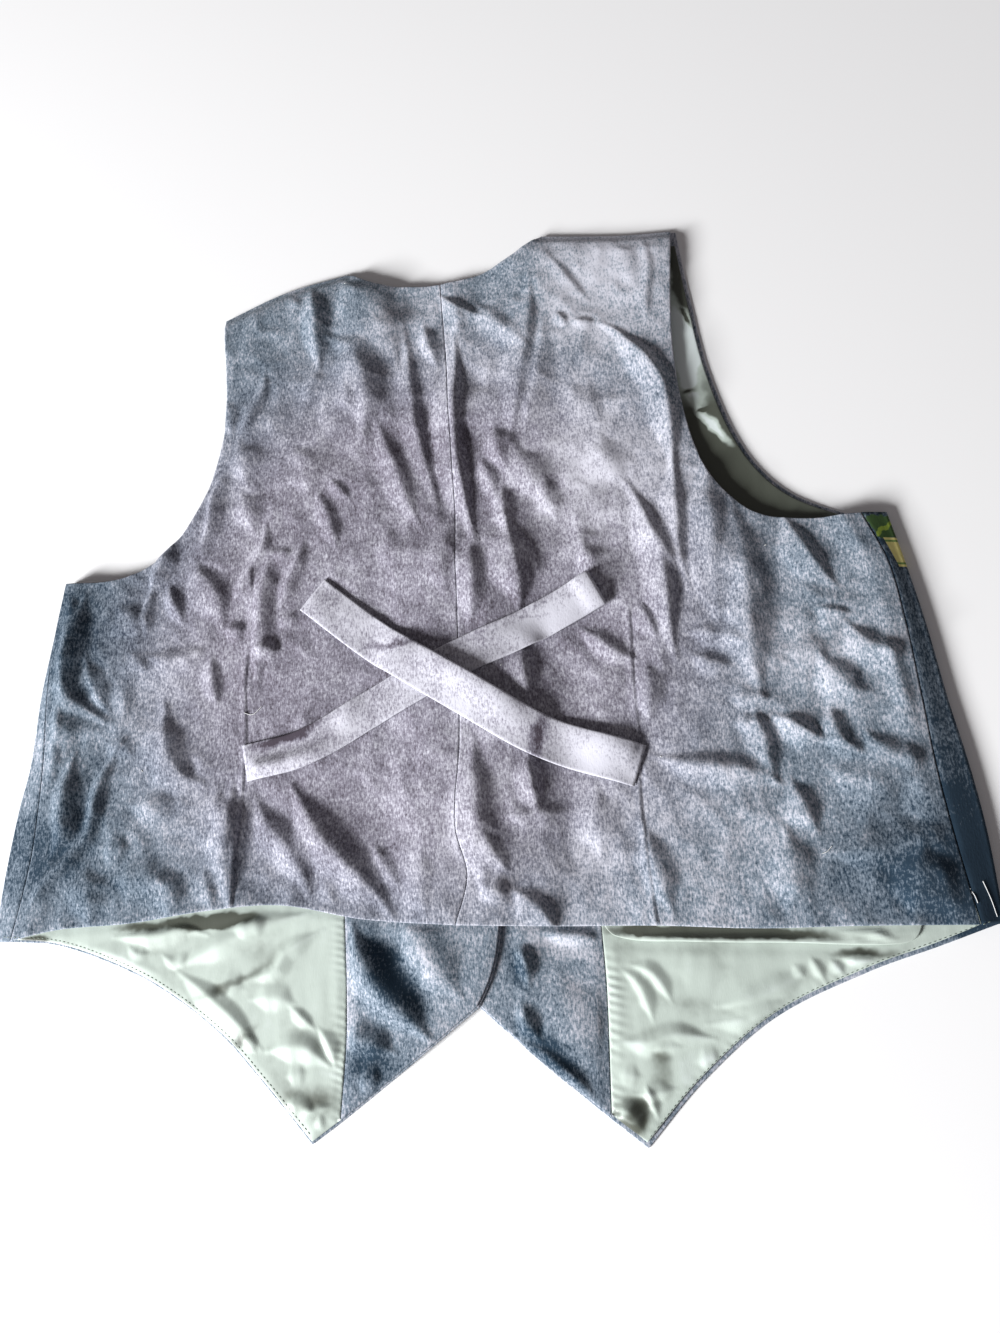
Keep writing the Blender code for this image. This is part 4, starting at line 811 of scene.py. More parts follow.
def puckered(points, row):
    """Small uneven puckers that run out from a sewn line."""
    along, _, away, _ = to_segments(points, curve(row.line, 6.0))
    drift = along + 1.5 * np.sin(along / 11.0) + 0.25 * away
    wave = np.abs(np.sin(math.pi * drift / row.spacing)) ** 1.5
    uneven = 0.55 + 0.45 * np.sin(along / 7.3 + 1.0) * np.sin(along / 17.0)
    rise = smooth(away / 1.2) * np.exp(-((away / row.reach) ** 2))
    return row.height * wave * uneven * rise


# ---------------------------------------------------------------- sheets of cloth


def inside(spots, edge):
    """Which of the spots lie inside an outline."""
    ring = np.vstack([edge, edge[:1]])
    found = np.zeros(len(spots), bool)
    for a, b in zip(ring[:-1], ring[1:]):
        crosses = (a[1] > spots[:, 1]) != (b[1] > spots[:, 1])
        rise = b[1] - a[1] if b[1] != a[1] else 1e-9
        found ^= crosses & (spots[:, 0] < a[0] + (spots[:, 1] - a[1]) * (b[0] - a[0]) / rise)
    return found


def lattice(edge, step, detail, lines):
    """Inner points of a plan: a triangular grid, fine where detail says so and wide elsewhere.

    Along the given lines the points stand in close rows instead.
    """
    low, high = edge.min(axis=0), edge.max(axis=0)
    found = []
    for spacing in (step, HIDDEN_STEP):
        row_step = spacing * math.sqrt(3) / 2
        j, i = np.meshgrid(
            np.arange(math.floor(low[1] / row_step), math.ceil(high[1] / row_step) + 1),
            np.arange(math.floor(low[0] / spacing) - 1, math.ceil(high[0] / spacing) + 1),
            indexing="ij",
        )
        spots = np.stack([spacing * (i + 0.5 * (j % 2)).ravel(), row_step * j.ravel()], axis=1)
        wanted = detail(spots) if spacing == step else ~detail(spots)
        spots = spots[wanted]
        found.append(spots[inside(spots, edge)])
    spots = np.vstack(found)
    for line in lines:
        spots = spots[to_segments(spots, line)[2] > LINE_ROWS[-1] + 0.5 * step]
        across = directions(line)[1]
        rows = np.vstack([line + across * offset for offset in LINE_ROWS])
        spots = np.vstack([spots, rows[inside(rows, edge)]])
    ring = np.vstack([edge, edge[:1]])
    return spots[to_segments(spots, ring)[2] > RIM + 0.35 * step]


def everywhere(spots):
    return np.ones(len(spots), bool)


def sheet_object(name, corners, faces, values):
    """A smooth mesh object from plan millimetres, with the named values kept on its points."""
    places = (np.asarray(corners, float) - (0, PLAN_CENTRE_Y, 0)) * MM
    mesh = bpy.data.meshes.new(name)
    mesh.from_pydata(places.tolist(), [], [tuple(int(k) for k in f) for f in faces])
    mesh.update()
    for key, numbers in values.items():
        kept = mesh.attributes.new(key, "FLOAT", "POINT")
        kept.data.foreach_set("value", np.asarray(numbers, np.float32))
    mesh.shade_smooth()
    made = bpy.data.objects.new(name, mesh)
    bpy.context.scene.collection.objects.link(made)
    return made


def crest_of(count, faces, height, rounds=14):
    """How far each point stands over its neighbourhood, in millimetres."""
    ends = np.array([(f[k], f[(k + 1) % len(f)]) for f in faces for k in range(len(f))])
    ends = np.vstack([ends, ends[:, ::-1]])
    uses = np.bincount(ends[:, 0], minlength=count)
    soft = height.copy()
    for _ in range(rounds):
        total = np.bincount(ends[:, 0], weights=soft[ends[:, 1]], minlength=count)
        soft = 0.3 * soft + 0.7 * total / np.maximum(uses, 1)
    return height - soft


def turned_edge(corners, faces, table, outward, spots, lows, highs, thick, across):
    """Carries a side of a sheet up round its fold and inward to the side seam."""
    middle = LEVEL_FRONT + thick / 2 + TURN_RADIUS
    rows = []

    def corner(x, y, z, spread):
        corners.append((x, y, z))
        across.append(spread)
        return len(corners) - 1

    for spot, low, high in zip(spots, lows, highs):
        y = spot[1]
        outer, inner = [low], [high]
        for k in range(1, TURN_STEPS + 1):
            angle = math.pi * (k / TURN_STEPS - 0.5)
            spread = spot[0] + outward * TURN_RADIUS * (angle + math.pi / 2)
            for ring, radius in ((outer, TURN_RADIUS + thick / 2), (inner, TURN_RADIUS - thick / 2)):
                x = spot[0] + outward * radius * math.cos(angle)
                ring.append(corner(x, y, middle + radius * math.sin(angle), spread))
        seam = side_at(table, "seam", y) + outward * SEAM_GAP / 2
        reach = abs(spot[0] - seam)
        near_seam = max(0.8, 1 - 1.0 / max(reach, 1.2))
        for share in (*SIDE_SHARES, near_seam, 1.0):
            x = spot[0] + (seam - spot[0]) * share
            near = reach * (1 - share)
            round_off = rim_share(near / RIM, RIM_SHARE)
            bow = SIDE_BOW * math.sin(math.pi * share) + SIDE_LIFT * share**SIDE_LIFT_POWER
            spread = spot[0] + outward * (math.pi * TURN_RADIUS + reach * share)
            top = middle + TURN_RADIUS + bow
            outer.append(corner(x, y, top + thick / 2 * round_off, spread))
            inner.append(corner(x, y, top - thick / 2 * round_off, spread))
        rows.append((outer, inner))
    for (outer, inner), (next_outer, next_inner) in zip(rows[:-1], rows[1:]):
        for k in range(len(outer) - 1):
            faces.append((outer[k], next_outer[k], next_outer[k + 1], outer[k + 1]))
            faces.append((inner[k + 1], next_inner[k + 1], next_inner[k], inner[k]))
        faces.append((outer[-1], next_outer[-1], next_inner[-1], inner[-1]))
    for outer, inner in (rows[0], rows[-1]):
        for k in range(len(outer) - 1):
            faces.append((outer[k], outer[k + 1], inner[k + 1], inner[k]))


def sheet(name, edge, under, thick, step, detail=everywhere, side=None, lines=()):
    """A closed sheet of cloth from a plan outline, an underside height and a thickness.

    side is (table, outward) where the outline's edge along that side's fold turns up. lines
    are sewn lines that need close rows of points.
    """
    count = len(edge)
    ring = np.vstack([edge, edge[:1]])
    rims = []
    for depth in (0.35 * RIM, RIM):
        row = shifted(edge, np.full(count, depth))
        rims.append(row[(to_segments(row, ring)[2] > 0.8 * depth) & inside(row, edge)])
    spots = np.vstack([edge, *rims, lattice(edge, step, detail, lines)])
    loops = [(k, (k + 1) % count) for k in range(count)]
    plan, _, triangles, origin, _, _ = delaunay_2d_cdt([Vector(s) for s in spots], loops, [], 1, 1e-5)
    plan = np.array([tuple(p) for p in plan])
    where = {old: new for new, olds in enumerate(origin) for old in olds}
    turned = set()
    ring_path = ring
    if side:
        table, outward = side
        start = side_at(table, "fold", spots[:count, 1]) - outward * (TURN_RADIUS + thick / 2)
        ys = [row.y for row in table]
        on_fold = np.abs(spots[:count, 0] - start) < 1.0
        on_fold &= (spots[:count, 1] < max(ys) + 0.1) & (spots[:count, 1] > min(ys) - 0.1)
        turned = set(np.flatnonzero(on_fold).tolist())
        first = next(k for k in turned if (k - 1) % count not in turned)
        order = [(first + k) % count for k in range(count)]
        free = [k for k in order if k not in turned]
        ring_path = edge[[order[len(turned) - 1]] + free + [first]]
    away = to_segments(plan, ring_path)[2]
    rounded = rim_share(away / RIM, RIM_SHARE)
    if turned:
        rounded[[where[k] for k in turned]] = 1.0
    low_z = under(plan)
    crest = crest_of(len(plan), triangles, low_z)
    total = len(plan)
    corners = [(*p, z + thick / 2 * (1 - r)) for p, z, r in zip(plan, low_z, rounded)]
    corners += [(*p, z + thick / 2 * (1 + r)) for p, z, r in zip(plan, low_z, rounded)]
    across = list(plan[:, 0]) * 2
    faces = [(c, b, a) for a, b, c in triangles]
    faces += [(a + total, b + total, c + total) for a, b, c in triangles]
    if side:
        run = sorted(turned, key=lambda k: spots[k, 1])
        lows = [where[k] for k in run]
        turned_edge(
            corners, faces, table, outward, spots[run], lows, [k + total for k in lows], thick, across,
        )
    for a, b in loops:
        if a in turned and b in turned:
            continue
        a, b = where[a], where[b]
        faces.append((a, b, b + total, a + total))
    turned_up = np.zeros(len(corners) - 2 * total)
    # crest and edge are kept for painting: painted shade in the hollows, painted highlights on the ridges and
    # along the rims
    crests = np.concatenate([crest, crest, turned_up])
    edges = np.concatenate([np.exp(-away / EDGE_REACH)] * 2 + [turned_up])
    values = {"crest": crests, "edge": edges, "across": np.array(across) * MM}
    made = sheet_object(name, corners, faces, values)
    outward_faces(made)
    return made


def outward_faces(made):
    """Turns all the faces of a closed mesh outward."""
    shape = bmesh.new()
    shape.from_mesh(made.data)
    bmesh.ops.recalc_face_normals(shape, faces=shape.faces)
    shape.to_mesh(made.data)
    shape.free()


def tree_of(objects):
    """One search tree over the faces of several objects."""
    corners, faces = [], []
    for made in objects:
        first = len(corners)
        corners += [v.co.copy() for v in made.data.vertices]
        faces += [tuple(first + k for k in f.vertices) for f in made.data.polygons]
    return BVHTree.FromPolygons(corners, faces)


def height_below(tree, spot):
    """The height in millimetres of the highest cloth under a plan spot, or None."""
    start = Vector((spot[0] * MM, (spot[1] - PLAN_CENTRE_Y) * MM, 0.1))
    hit = tree.ray_cast(start, Vector((0, 0, -1)))[0]
    return hit.z / MM if hit else None


# ---------------------------------------------------------------- materials


class Value:
    """A node's output with Python's arithmetic on it."""

    def __init__(self, paint, socket):
        self.paint, self.socket = paint, socket

    def _maths(self, operation, *values):
        return self.paint.add("ShaderNodeMath", {"operation": operation}, dict(enumerate(values)))["Value"]

    def __add__(self, other):
        return self._maths("ADD", self, other)

    def __sub__(self, other):
        return self._maths("SUBTRACT", self, other)

    def __rsub__(self, other):
        return self._maths("SUBTRACT", other, self)

    def __mul__(self, other):
        return self._maths("MULTIPLY", self, other)

    def __truediv__(self, other):
        return self._maths("DIVIDE", self, other)

    __radd__, __rmul__ = __add__, __mul__

    def ramp(self, low, high, shape="SMOOTHSTEP"):
        """0 below low, 1 above high, and a soft S or a straight line between."""
        values = {"Value": self, "From Min": low, "From Max": high, "To Min": 0.0, "To Max": 1.0}
        return self.paint.add("ShaderNodeMapRange", {"interpolation_type": shape}, values)["Result"]

    def clamp(self):
        return self.paint.add("ShaderNodeClamp", {}, {"Value": self})["Result"]


class Outputs:
    """A node's outputs by name, each as a Value."""

    def __init__(self, paint, node):
        self.paint, self.node = paint, node

    def __getitem__(self, name):
        return Value(self.paint, self.node.outputs[name])


class Paint:
    """A new material and the means to add nodes to it."""

    def __init__(self, name):
        self.material = bpy.data.materials.new(name)
        self.material.use_nodes = True
        self.tree = self.material.node_tree
        self.shader = self.tree.nodes["Principled BSDF"]

    def add(self, kind, settings=None, values=None):
        """Adds a node of that kind, with its settings first, then its sockets' values and links."""
        node = self.tree.nodes.new(kind)
        for key, setting in (settings or {}).items():
            setattr(node, key, setting)
        self.fill(node, values or {})
        return Outputs(self, node)

    def fill(self, node, values):
        for key, value in values.items():
            socket = node.inputs[key]
            if isinstance(value, Value):
                self.tree.links.new(value.socket, socket)
            elif isinstance(value, (tuple, list)) and len(value) == 3 and socket.type == "RGBA":
                socket.default_value = (*value, 1.0)
            else:
                socket.default_value = value

    def place(self):
        """Object coordinates, in metres."""
        return self.add("ShaderNodeTexCoord")["Object"]

    def vectors(self, operation, first, second):
        return self.add("ShaderNodeVectorMath", {"operation": operation}, {0: first, 1: second})["Vector"]

    def length(self, vector):
        return self.add("ShaderNodeVectorMath", {"operation": "LENGTH"}, {0: vector})["Value"]

    def turned(self, vector, angle, scale):
        values = {"Vector": vector, "Rotation": (0, 0, angle), "Scale": scale}
        return self.add("ShaderNodeMapping", {}, values)["Vector"]

    def noise(self, vector, scale, detail=2.0, rough=0.5):
        values = {"Vector": vector, "Scale": scale, "Detail": detail, "Roughness": rough}
        return self.add("ShaderNodeTexNoise", {}, values)["Fac"]

    def jittered(self, vector, scale, reach):
        """The vector moved a little by a noise, so that a drawn mark gets an uneven edge."""
        values = {"Vector": vector, "Scale": scale, "Detail": 2.0, "Roughness": 0.5}
        random = self.add("ShaderNodeTexNoise", {}, values)["Color"]
        centred = self.vectors("SUBTRACT", random, (0.5, 0.5, 0.5))
        return self.vectors("ADD", vector, self.vectors("MULTIPLY", centred, (reach, reach, reach)))

    def kept(self, name):
        """A value kept on the points of the mesh."""
        return self.add("ShaderNodeAttribute", {"attribute_name": name})["Fac"]

    def mix(self, share, first, second):
        settings = {"data_type": "RGBA", "clamp_factor": True}
        node = self.add("ShaderNodeMix", settings, {0: share, 6: first, 7: second})
        return Value(self, node.node.outputs[2])

    def bump(self, height, distance, strength, under=None):
        values = {"Height": height, "Distance": distance, "Strength": strength}
        if under is not None:
            values["Normal"] = under
        return self.add("ShaderNodeBump", {}, values)["Normal"]

    def finish(self, **values):
        self.fill(self.shader, {key.replace("_", " "): value for key, value in values.items()})
        return self.material


def box_mask(value, low, high, soft):
    """1 between low and high, with soft ends."""
    return value.ramp(low - soft, low + soft) * (1.0 - value.ramp(high - soft, high + soft))


def soft_oval(paint, place, x, y, wide, tall, turn=0.0):
    """1 in the middle of an oval on the plan, given in millimetres, and 0 outside it."""
    centred = paint.vectors("ADD", place, (-x * MM, -(y - PLAN_CENTRE_Y) * MM, 0.0))
    upright = paint.turned(centred, -turn, (1, 1, 0))
    shrunk = paint.vectors("MULTIPLY", upright, (1 / (wide * MM), 1 / (tall * MM), 0.0))
    return 1.0 - paint.length(shrunk).ramp(0.0, 1.0)


def marked(paint, tone, place, marks):
    """The tone with each row of marks added: plan x and y, width, height, turn and how much."""
    for x, y, wide, tall, turn, amount in marks:
        tone = tone + soft_oval(paint, place, x, y, wide, tall, turn) * amount
    return tone


def trimmed(paint, place, colour):
    """A scrap of leaf print and a ribbon end where the right front turns over at its top."""
    across = paint.kept("across") / MM
    up = paint.add("ShaderNodeSeparateXYZ", {}, {0: place})["Y"] / MM + PLAN_CENTRE_Y
    wave = (paint.noise(place, 160.0) - 0.5) * 6.0
    leaf = box_mask(across + wave, *LEAF_ACROSS, 0.6) * box_mask(up + wave, *LEAF_UP, 0.6)
    vein = box_mask(up + across * 0.6 + wave, *LEAF_VEIN, 0.4)
    leaf_green = paint.mix(vein, (0.055, 0.105, 0.035), (0.25, 0.34, 0.05))
    ribbon = box_mask(across, *RIBBON_ACROSS, 0.3) * box_mask(up, *RIBBON_UP, 0.3)
    (low, high), (near, far) = RIBBON_UP, RIBBON_LINE
    lines = box_mask(up, low + near, low + far, 0.3) + box_mask(up, high - far, high - near, 0.3)
    yellow = paint.mix(lines, (0.70, 0.62, 0.24), (0.16, 0.26, 0.08))
    return paint.mix(ribbon, paint.mix(leaf, colour, leaf_green), yellow)


def wool_paint(name, settings, lighter=0.0, cool=0.0, print_and_painted_shade=False, marks=()):
    """Brushed wool: a felted ground, paler where the nap stands, with painted shade in its hollows and
    painted highlights on its ridges and rims.
    """
    paint = Paint(name)
    place = paint.place()
    crest, edge = paint.kept("crest"), paint.kept("edge")
    patches = paint.noise(place, 14.0, 3.0, 0.55)
    clouds = paint.noise(place, 60.0, 3.0, 0.6)
    streaks = paint.noise(paint.turned(place, 0.75, (1000, 330, 600)), 1.0, 3.0, 0.6)
    grain = paint.noise(place, 520.0, 3.0, 0.7)
    away = paint.length(paint.vectors("SUBTRACT", place, COOL_CENTRE))
    cool_share = (away.ramp(0.13, 0.26) + cool).clamp()
    tone = (streaks - 0.5) * 1.5 + (grain - 0.5) * 1.2 + (clouds - 0.5) * 0.7 + (patches - 0.5) * 0.45
    # Painted highlight on the ridges (crest) and along the rims (edge), and painted shade in the hollows
    tone = tone + crest * 0.03 - (0.0 - crest).ramp(0.0, 2.5) * 0.08 + edge * 0.16 + lighter + 0.5
    # painted light and painted shade in patches across the wool
    for x, y, reach, amount in WOOL_PAINTED_LIGHT_AND_SHADE:
        tone = tone + soft_oval(paint, place, x, y, reach, reach) * amount
    # the marks are painted light and painted shade
    tone = marked(paint, tone, paint.jittered(place, 70.0, 0.016), marks)
    # painted shade on the far part of the right front's turned-up strip, where it turns away from the lamp
    if print_and_painted_shade:
        tone = tone - paint.kept("across").ramp(*PAINTED_SHADE_STRIP) * 0.36
    ground = paint.mix(cool_share, tuple(settings.wool_warm), tuple(settings.wool_cool))
    shade = paint.mix(cool_share, tuple(settings.wool_warm_shade), tuple(settings.wool_cool_shade))
    body = paint.mix(tone.ramp(0.0, 0.5, "LINEAR"), shade, ground)
    colour = paint.mix(tone.ramp(0.5, 1.0, "LINEAR") * settings.nap, body, tuple(settings.wool_nap))
    if print_and_painted_shade:
        colour = trimmed(paint, place, colour)
    pile = streaks * 0.7 + grain * 0.5 + clouds * 0.4
    shader = paint.shader.inputs
    shader["Sheen Weight"].default_value = 0.08
    shader["Sheen Roughness"].default_value = 0.5
    shader["Specular IOR Level"].default_value = 0.05
    return paint.finish(Base_Color=colour, Roughness=0.95, Normal=paint.bump(pile, 0.00028, 0.7))


def satin_paint(name, settings):
    """Lining satin: pale, with a soft gloss, fine threads, painted olive shade in its hollows and painted
    highlights on its ridges.
    """
    paint = Paint(name)
    place = paint.place()
    crest = paint.kept("crest")
    threads = paint.noise(paint.turned(place, 0.0, (3000, 260, 1000)), 1.0)
    patches = paint.noise(place, 24.0, 4.0, 0.6)
    # Painted highlight on the ridges and painted shade in the hollows, with random patches drifting between
    # them, then the marks of painted shade and painted highlight
    tone = crest * 0.5 + (patches - 0.5) * 2.2
    tone = marked(paint, tone, paint.jittered(place, 90.0, 0.008), SATIN_PAINTED_LIGHT_AND_SHADE)
    colour = paint.mix((0.0 - tone).ramp(-0.1, 1.3), tuple(settings.satin), tuple(settings.satin_shade))
    colour = paint.mix(tone.ramp(0.1, 1.2), colour, tuple(settings.satin_painted_highlight))
    rough = 0.40 + (threads - 0.5) * 0.16 + (patches - 0.5) * 0.14
    paint.shader.inputs["Specular IOR Level"].default_value = 0.28
    paint.shader.inputs["Anisotropic"].default_value = 0.3
    creases = paint.noise(paint.turned(place, 0.5, (38, 12, 20)), 1.0)
    normal = paint.bump(threads, 0.00010, 0.5, paint.bump(creases, 0.0022, 0.6))
    return paint.finish(Base_Color=colour, Roughness=rough, Normal=normal)


def thread_paint(name, dark, pale):
    """Cotton thread: matt, and unevenly coloured along its length."""
    paint = Paint(name)
    twist = paint.noise(paint.place(), 1400.0)
    return paint.finish(Base_Color=paint.mix(twist, dark, pale), Roughness=0.75 + twist * 0.2)


# ---------------------------------------------------------------- pieces


def paint_piece(made, material):
    made.data.materials.clear()
    made.data.materials.append(material)


def at_home(made, material, node=None):
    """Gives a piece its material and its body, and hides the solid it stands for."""
    paint_piece(made, material)
    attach(made, "root")
    if node:
        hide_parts(node)


def need(name):
    made = bpy.data.objects.get(name)
    if made is None:
        raise RuntimeError(f"{name} has to be made first")
    return made


def colour_setting(name, description, default):
    """A colour that the user can set."""
    return bpy.props.FloatVectorProperty(
        name=name, description=description, default=default, min=0.0, max=1.0, subtype="COLOR",
    )


class WaistcoatSettings(bpy.types.PropertyGroup):
    """The sizes and colours of the waistcoat that a user would change."""

    step: bpy.props.FloatProperty(
        name="Cloth spacing", description="Spacing of the points of the cloth that shows",
        default=0.0020, min=0.0015, max=0.01, precision=4, unit="LENGTH",
    )
    nap: bpy.props.FloatProperty(
        name="Nap", description="How much of the pale nap shows over the wool",
        default=0.85, min=0.0, max=1.0, subtype="FACTOR",
    )
    wool_warm: colour_setting(
        "Wool", "Ground of the wool in the middle of the back", (0.255, 0.242, 0.295),
    )
    # painted shade: the wool's colour where shade falls in its hollows, and also the dark end of its fibres
    wool_warm_shade: colour_setting(
        "Wool hollows", "The wool in its hollows, in the middle of the back", (0.075, 0.062, 0.080),
    )
    wool_cool: colour_setting(
        "Wool at the sides", "Ground of the wool near the sides and the hem", (0.195, 0.240, 0.292),
    )
    # painted shade: the wool's colour where shade falls in its hollows near the sides, and also the dark end
    # of its fibres
    wool_cool_shade: colour_setting(
        "Wool hollows at the sides", "The wool in its hollows near the sides and the hem",
        (0.022, 0.042, 0.066),
    )
    wool_nap: colour_setting("Wool nap", "The pale tips of the wool", (0.66, 0.66, 0.73))
    satin: colour_setting("Satin", "The lining", (0.53, 0.605, 0.55))
    # painted highlight: the satin's colour on its ridges
    satin_painted_highlight: colour_setting("Satin ridges", "The lining on its ridges", (0.78, 0.86, 0.85))
    # painted shade: the satin's colour in its hollows
    satin_shade: colour_setting("Satin hollows", "The lining in its hollows", (0.085, 0.093, 0.075))
    key_light: bpy.props.FloatProperty(
        name="Key light", description="Power of the large lamp on the left",
        default=314.0, min=0.0, unit="POWER",
    )
    sky_light: bpy.props.FloatProperty(
        name="Fill light", description="Strength of the even light all round",
        default=0.145, min=0.0,
    )


class WAISTCOAT_OT_back(bpy.types.Operator):
    """Makes the two wool backs, joined down the centre"""

    bl_idname = "waistcoat.make_back"
    bl_label = "Back"

    def execute(self, context):
        settings = context.scene.waistcoat
        step, seam = settings.step / MM, SEAM_GAP / 2
        left = outline(
            step, (BACK_HEM_LEFT, 0), (CENTRE_SEAM[::-1], seam), (NECK_LEFT, 0), (SHOULDER_LEFT, 0),
            (BACK_ARM_LEFT, 0), (side_run(step, LEFT_SIDE, "seam", -1, 0, False), seam),
        )
        right = outline(
            step, (BACK_HEM_RIGHT, 0), (side_run(step, RIGHT_SIDE, "seam", 1, 0, True), seam),
            (BACK_ARM_RIGHT, 0), (SHOULDER_RIGHT, 0), (NECK_RIGHT, 0), (CENTRE_SEAM, seam),
        )
        wool = wool_paint("back_wool", settings)
        lines = [curve(dart, step) for dart in DARTS]
        jobs = (("wool_back_left", left, "back_left"), ("wool_back_right", right, "back_right"))
        for name, edge, node in jobs:
            made = sheet(name, edge, back_height, BACK_CLOTH, step, lines=lines)
            at_home(made, wool, node)
        return {"FINISHED"}


def near_closing(spots):
    wide, top = CLOSING_DETAIL
    return (np.abs(spots[:, 0] - OVERLAP_X) < wide) & (spots[:, 1] < top)


def shows_below(spots):
    return spots[:, 1] < hem_at(spots[:, 0]) + HEM_DETAIL


class WAISTCOAT_OT_back_lining(bpy.types.Operator):
    """Makes the satin lining of the back, which hangs below the hem on the right"""

    bl_idname = "waistcoat.make_back_lining"
    bl_label = "Back lining"

    def execute(self, context):
        settings = context.scene.waistcoat
        step = settings.step / MM
        arm_right = (LINING_SIDE_RIGHT[-1],) + BACK_ARM_RIGHT[1:-1] + (LINING_SHOULDER_RIGHT[0],)
        arm_left = (LINING_SHOULDER_LEFT[-1],) + BACK_ARM_LEFT[1:-1] + (LINING_SIDE_LEFT[0],)
        edge = outline(
            step, (LINING_HEM_LEFT, 0), (LINING_HEM_RIGHT, 0), (LINING_SIDE_RIGHT, 0), (arm_right, ARM_INSET),
            (LINING_SHOULDER_RIGHT, 0), (LINING_NECK, 0), (LINING_SHOULDER_LEFT, 0),
            (arm_left, ARM_INSET), (LINING_SIDE_LEFT, 0),
        )

        def height(points):
            shown = smooth((hem_at(points[:, 0]) - LINING_UNDER_HEM - points[:, 1]) / LINING_FADE)
            return LEVEL_BACK_LINING + over_fronts(points) + shown * folds(points, BACK_LINING_FOLDS, 0.1)

        def detail(spots):
            return (spots[:, 0] > LINING_DETAIL[0]) & (spots[:, 1] < LINING_DETAIL[1])

        made = sheet("back_lining_satin", edge, height, LINING_CLOTH, step, detail)
        at_home(made, satin_paint("back_lining_satin", settings), "back_lining")
        return {"FINISHED"}


class WAISTCOAT_OT_fronts(bpy.types.Operator):
    """Makes the two wool fronts, outside down, with their sides turned up to the side seams"""

    bl_idname = "waistcoat.make_fronts"
    bl_label = "Fronts"

    def execute(self, context):
        settings = context.scene.waistcoat
        step = settings.step / MM
        turn = TURN_RADIUS + FRONT_CLOTH / 2
        left_side = side_run(step, LEFT_SIDE, "fold", -1, turn, False)
        right_side = side_run(step, RIGHT_SIDE, "fold", 1, turn, True)
        left_end, right_end = tuple(left_side[-1]), tuple(right_side[0])
        left_top, right_top = tuple(left_side[0]), tuple(right_side[-1])
        left = outline(
            step, ((left_end,) + LEFT_HEM[1:], 0), (LEFT_POINT_EDGE, 0), (LEFT_CLOSING, 0), (LEFT_NECK, 0),
            (SHOULDER_LEFT[:-1] + (LEFT_ARM[0],), 0), (LEFT_ARM[:-1] + (left_top,), 0), (left_side, 0),
        )
        right = outline(
            step, (RIGHT_POINT_EDGE, 0), (RIGHT_HEM[:-1] + (right_end,), 0), (right_side, 0),
            ((right_top,) + RIGHT_ARM[1:], 0), (RIGHT_SHOULDER, 0), (RIGHT_NECK, 0), (RIGHT_CLOSING, 0),
        )

        def left_height(points):
            return LEVEL_FRONT + closing_rise(points, True)

        def right_height(points):
            return LEVEL_FRONT + closing_rise(points, False)

        wool = wool_paint("front_wool", settings, cool=0.9, print_and_painted_shade=True)
        jobs = (
            ("front_wool_left", left, left_height, (LEFT_SIDE, -1), "front_left"),
            ("front_wool_right", right, right_height, (RIGHT_SIDE, 1), "front_right"),
        )
        for name, edge, height, side, node in jobs:
            made = sheet(name, edge, height, FRONT_CLOTH, step, near_closing, side)
            at_home(made, wool, node)
        return {"FINISHED"}


class WAISTCOAT_OT_facings(bpy.types.Operator):
    """Makes the two wool facings inside the fronts"""

    bl_idname = "waistcoat.make_facings"
    bl_label = "Facings"

    def execute(self, context):
        settings = context.scene.waistcoat
        step, seam = 0.85 * settings.step / MM, SEAM_GAP / 2
        left = outline(
            step, (LEFT_POINT_EDGE[1:], CLOSING_INSET), (LEFT_CLOSING, CLOSING_INSET),
            (LEFT_NECK, NECK_INSET), ((LEFT_NECK[-1], LEFT_FACING_SEAM[0]), SHOULDER_INSET),
            (LEFT_FACING_SEAM, seam),
        )
        right = outline(
            step, (RIGHT_POINT_EDGE[:-1], CLOSING_INSET), (RIGHT_FACING_SEAM, seam),
            ((RIGHT_FACING_SEAM[-1], RIGHT_NECK[0]), SHOULDER_INSET), (RIGHT_NECK, NECK_INSET),
            (RIGHT_CLOSING, CLOSING_INSET),
        )

        def left_height(points):
            edges = (LEFT_POINT_EDGE, LEFT_CLOSING, LEFT_FACING_SEAM)
            rise = below_hem(points, LEFT_FACING_FOLDS, LEFT_FACING_REST, edges)
            return LEVEL_FACING + closing_rise(points, True) + rise

        def right_height(points):
            edges = (RIGHT_POINT_EDGE, LEFT_CLOSING, RIGHT_FACING_SEAM)
            rise = below_hem(points, RIGHT_FACING_FOLDS, RIGHT_FACING_REST, edges)
            rise = rise * slope(points[:, 0], RIGHT_FACING_START)
            return LEVEL_FACING + closing_rise(points, False) + rise

        wool = wool_paint("facing_wool", settings, cool=1.0, marks=FACING_PAINTED_LIGHT_AND_SHADE)
        jobs = (
            ("facing_wool_left", left, left_height, "facing_left", "front_wool_left"),
            ("facing_wool_right", right, right_height, "facing_right", "front_wool_right"),
        )
        for name, edge, height, node, below in jobs:
            made = sheet(name, edge, height, FACING_CLOTH, step, shows_below)
            at_home(made, wool, node)
        return {"FINISHED"}


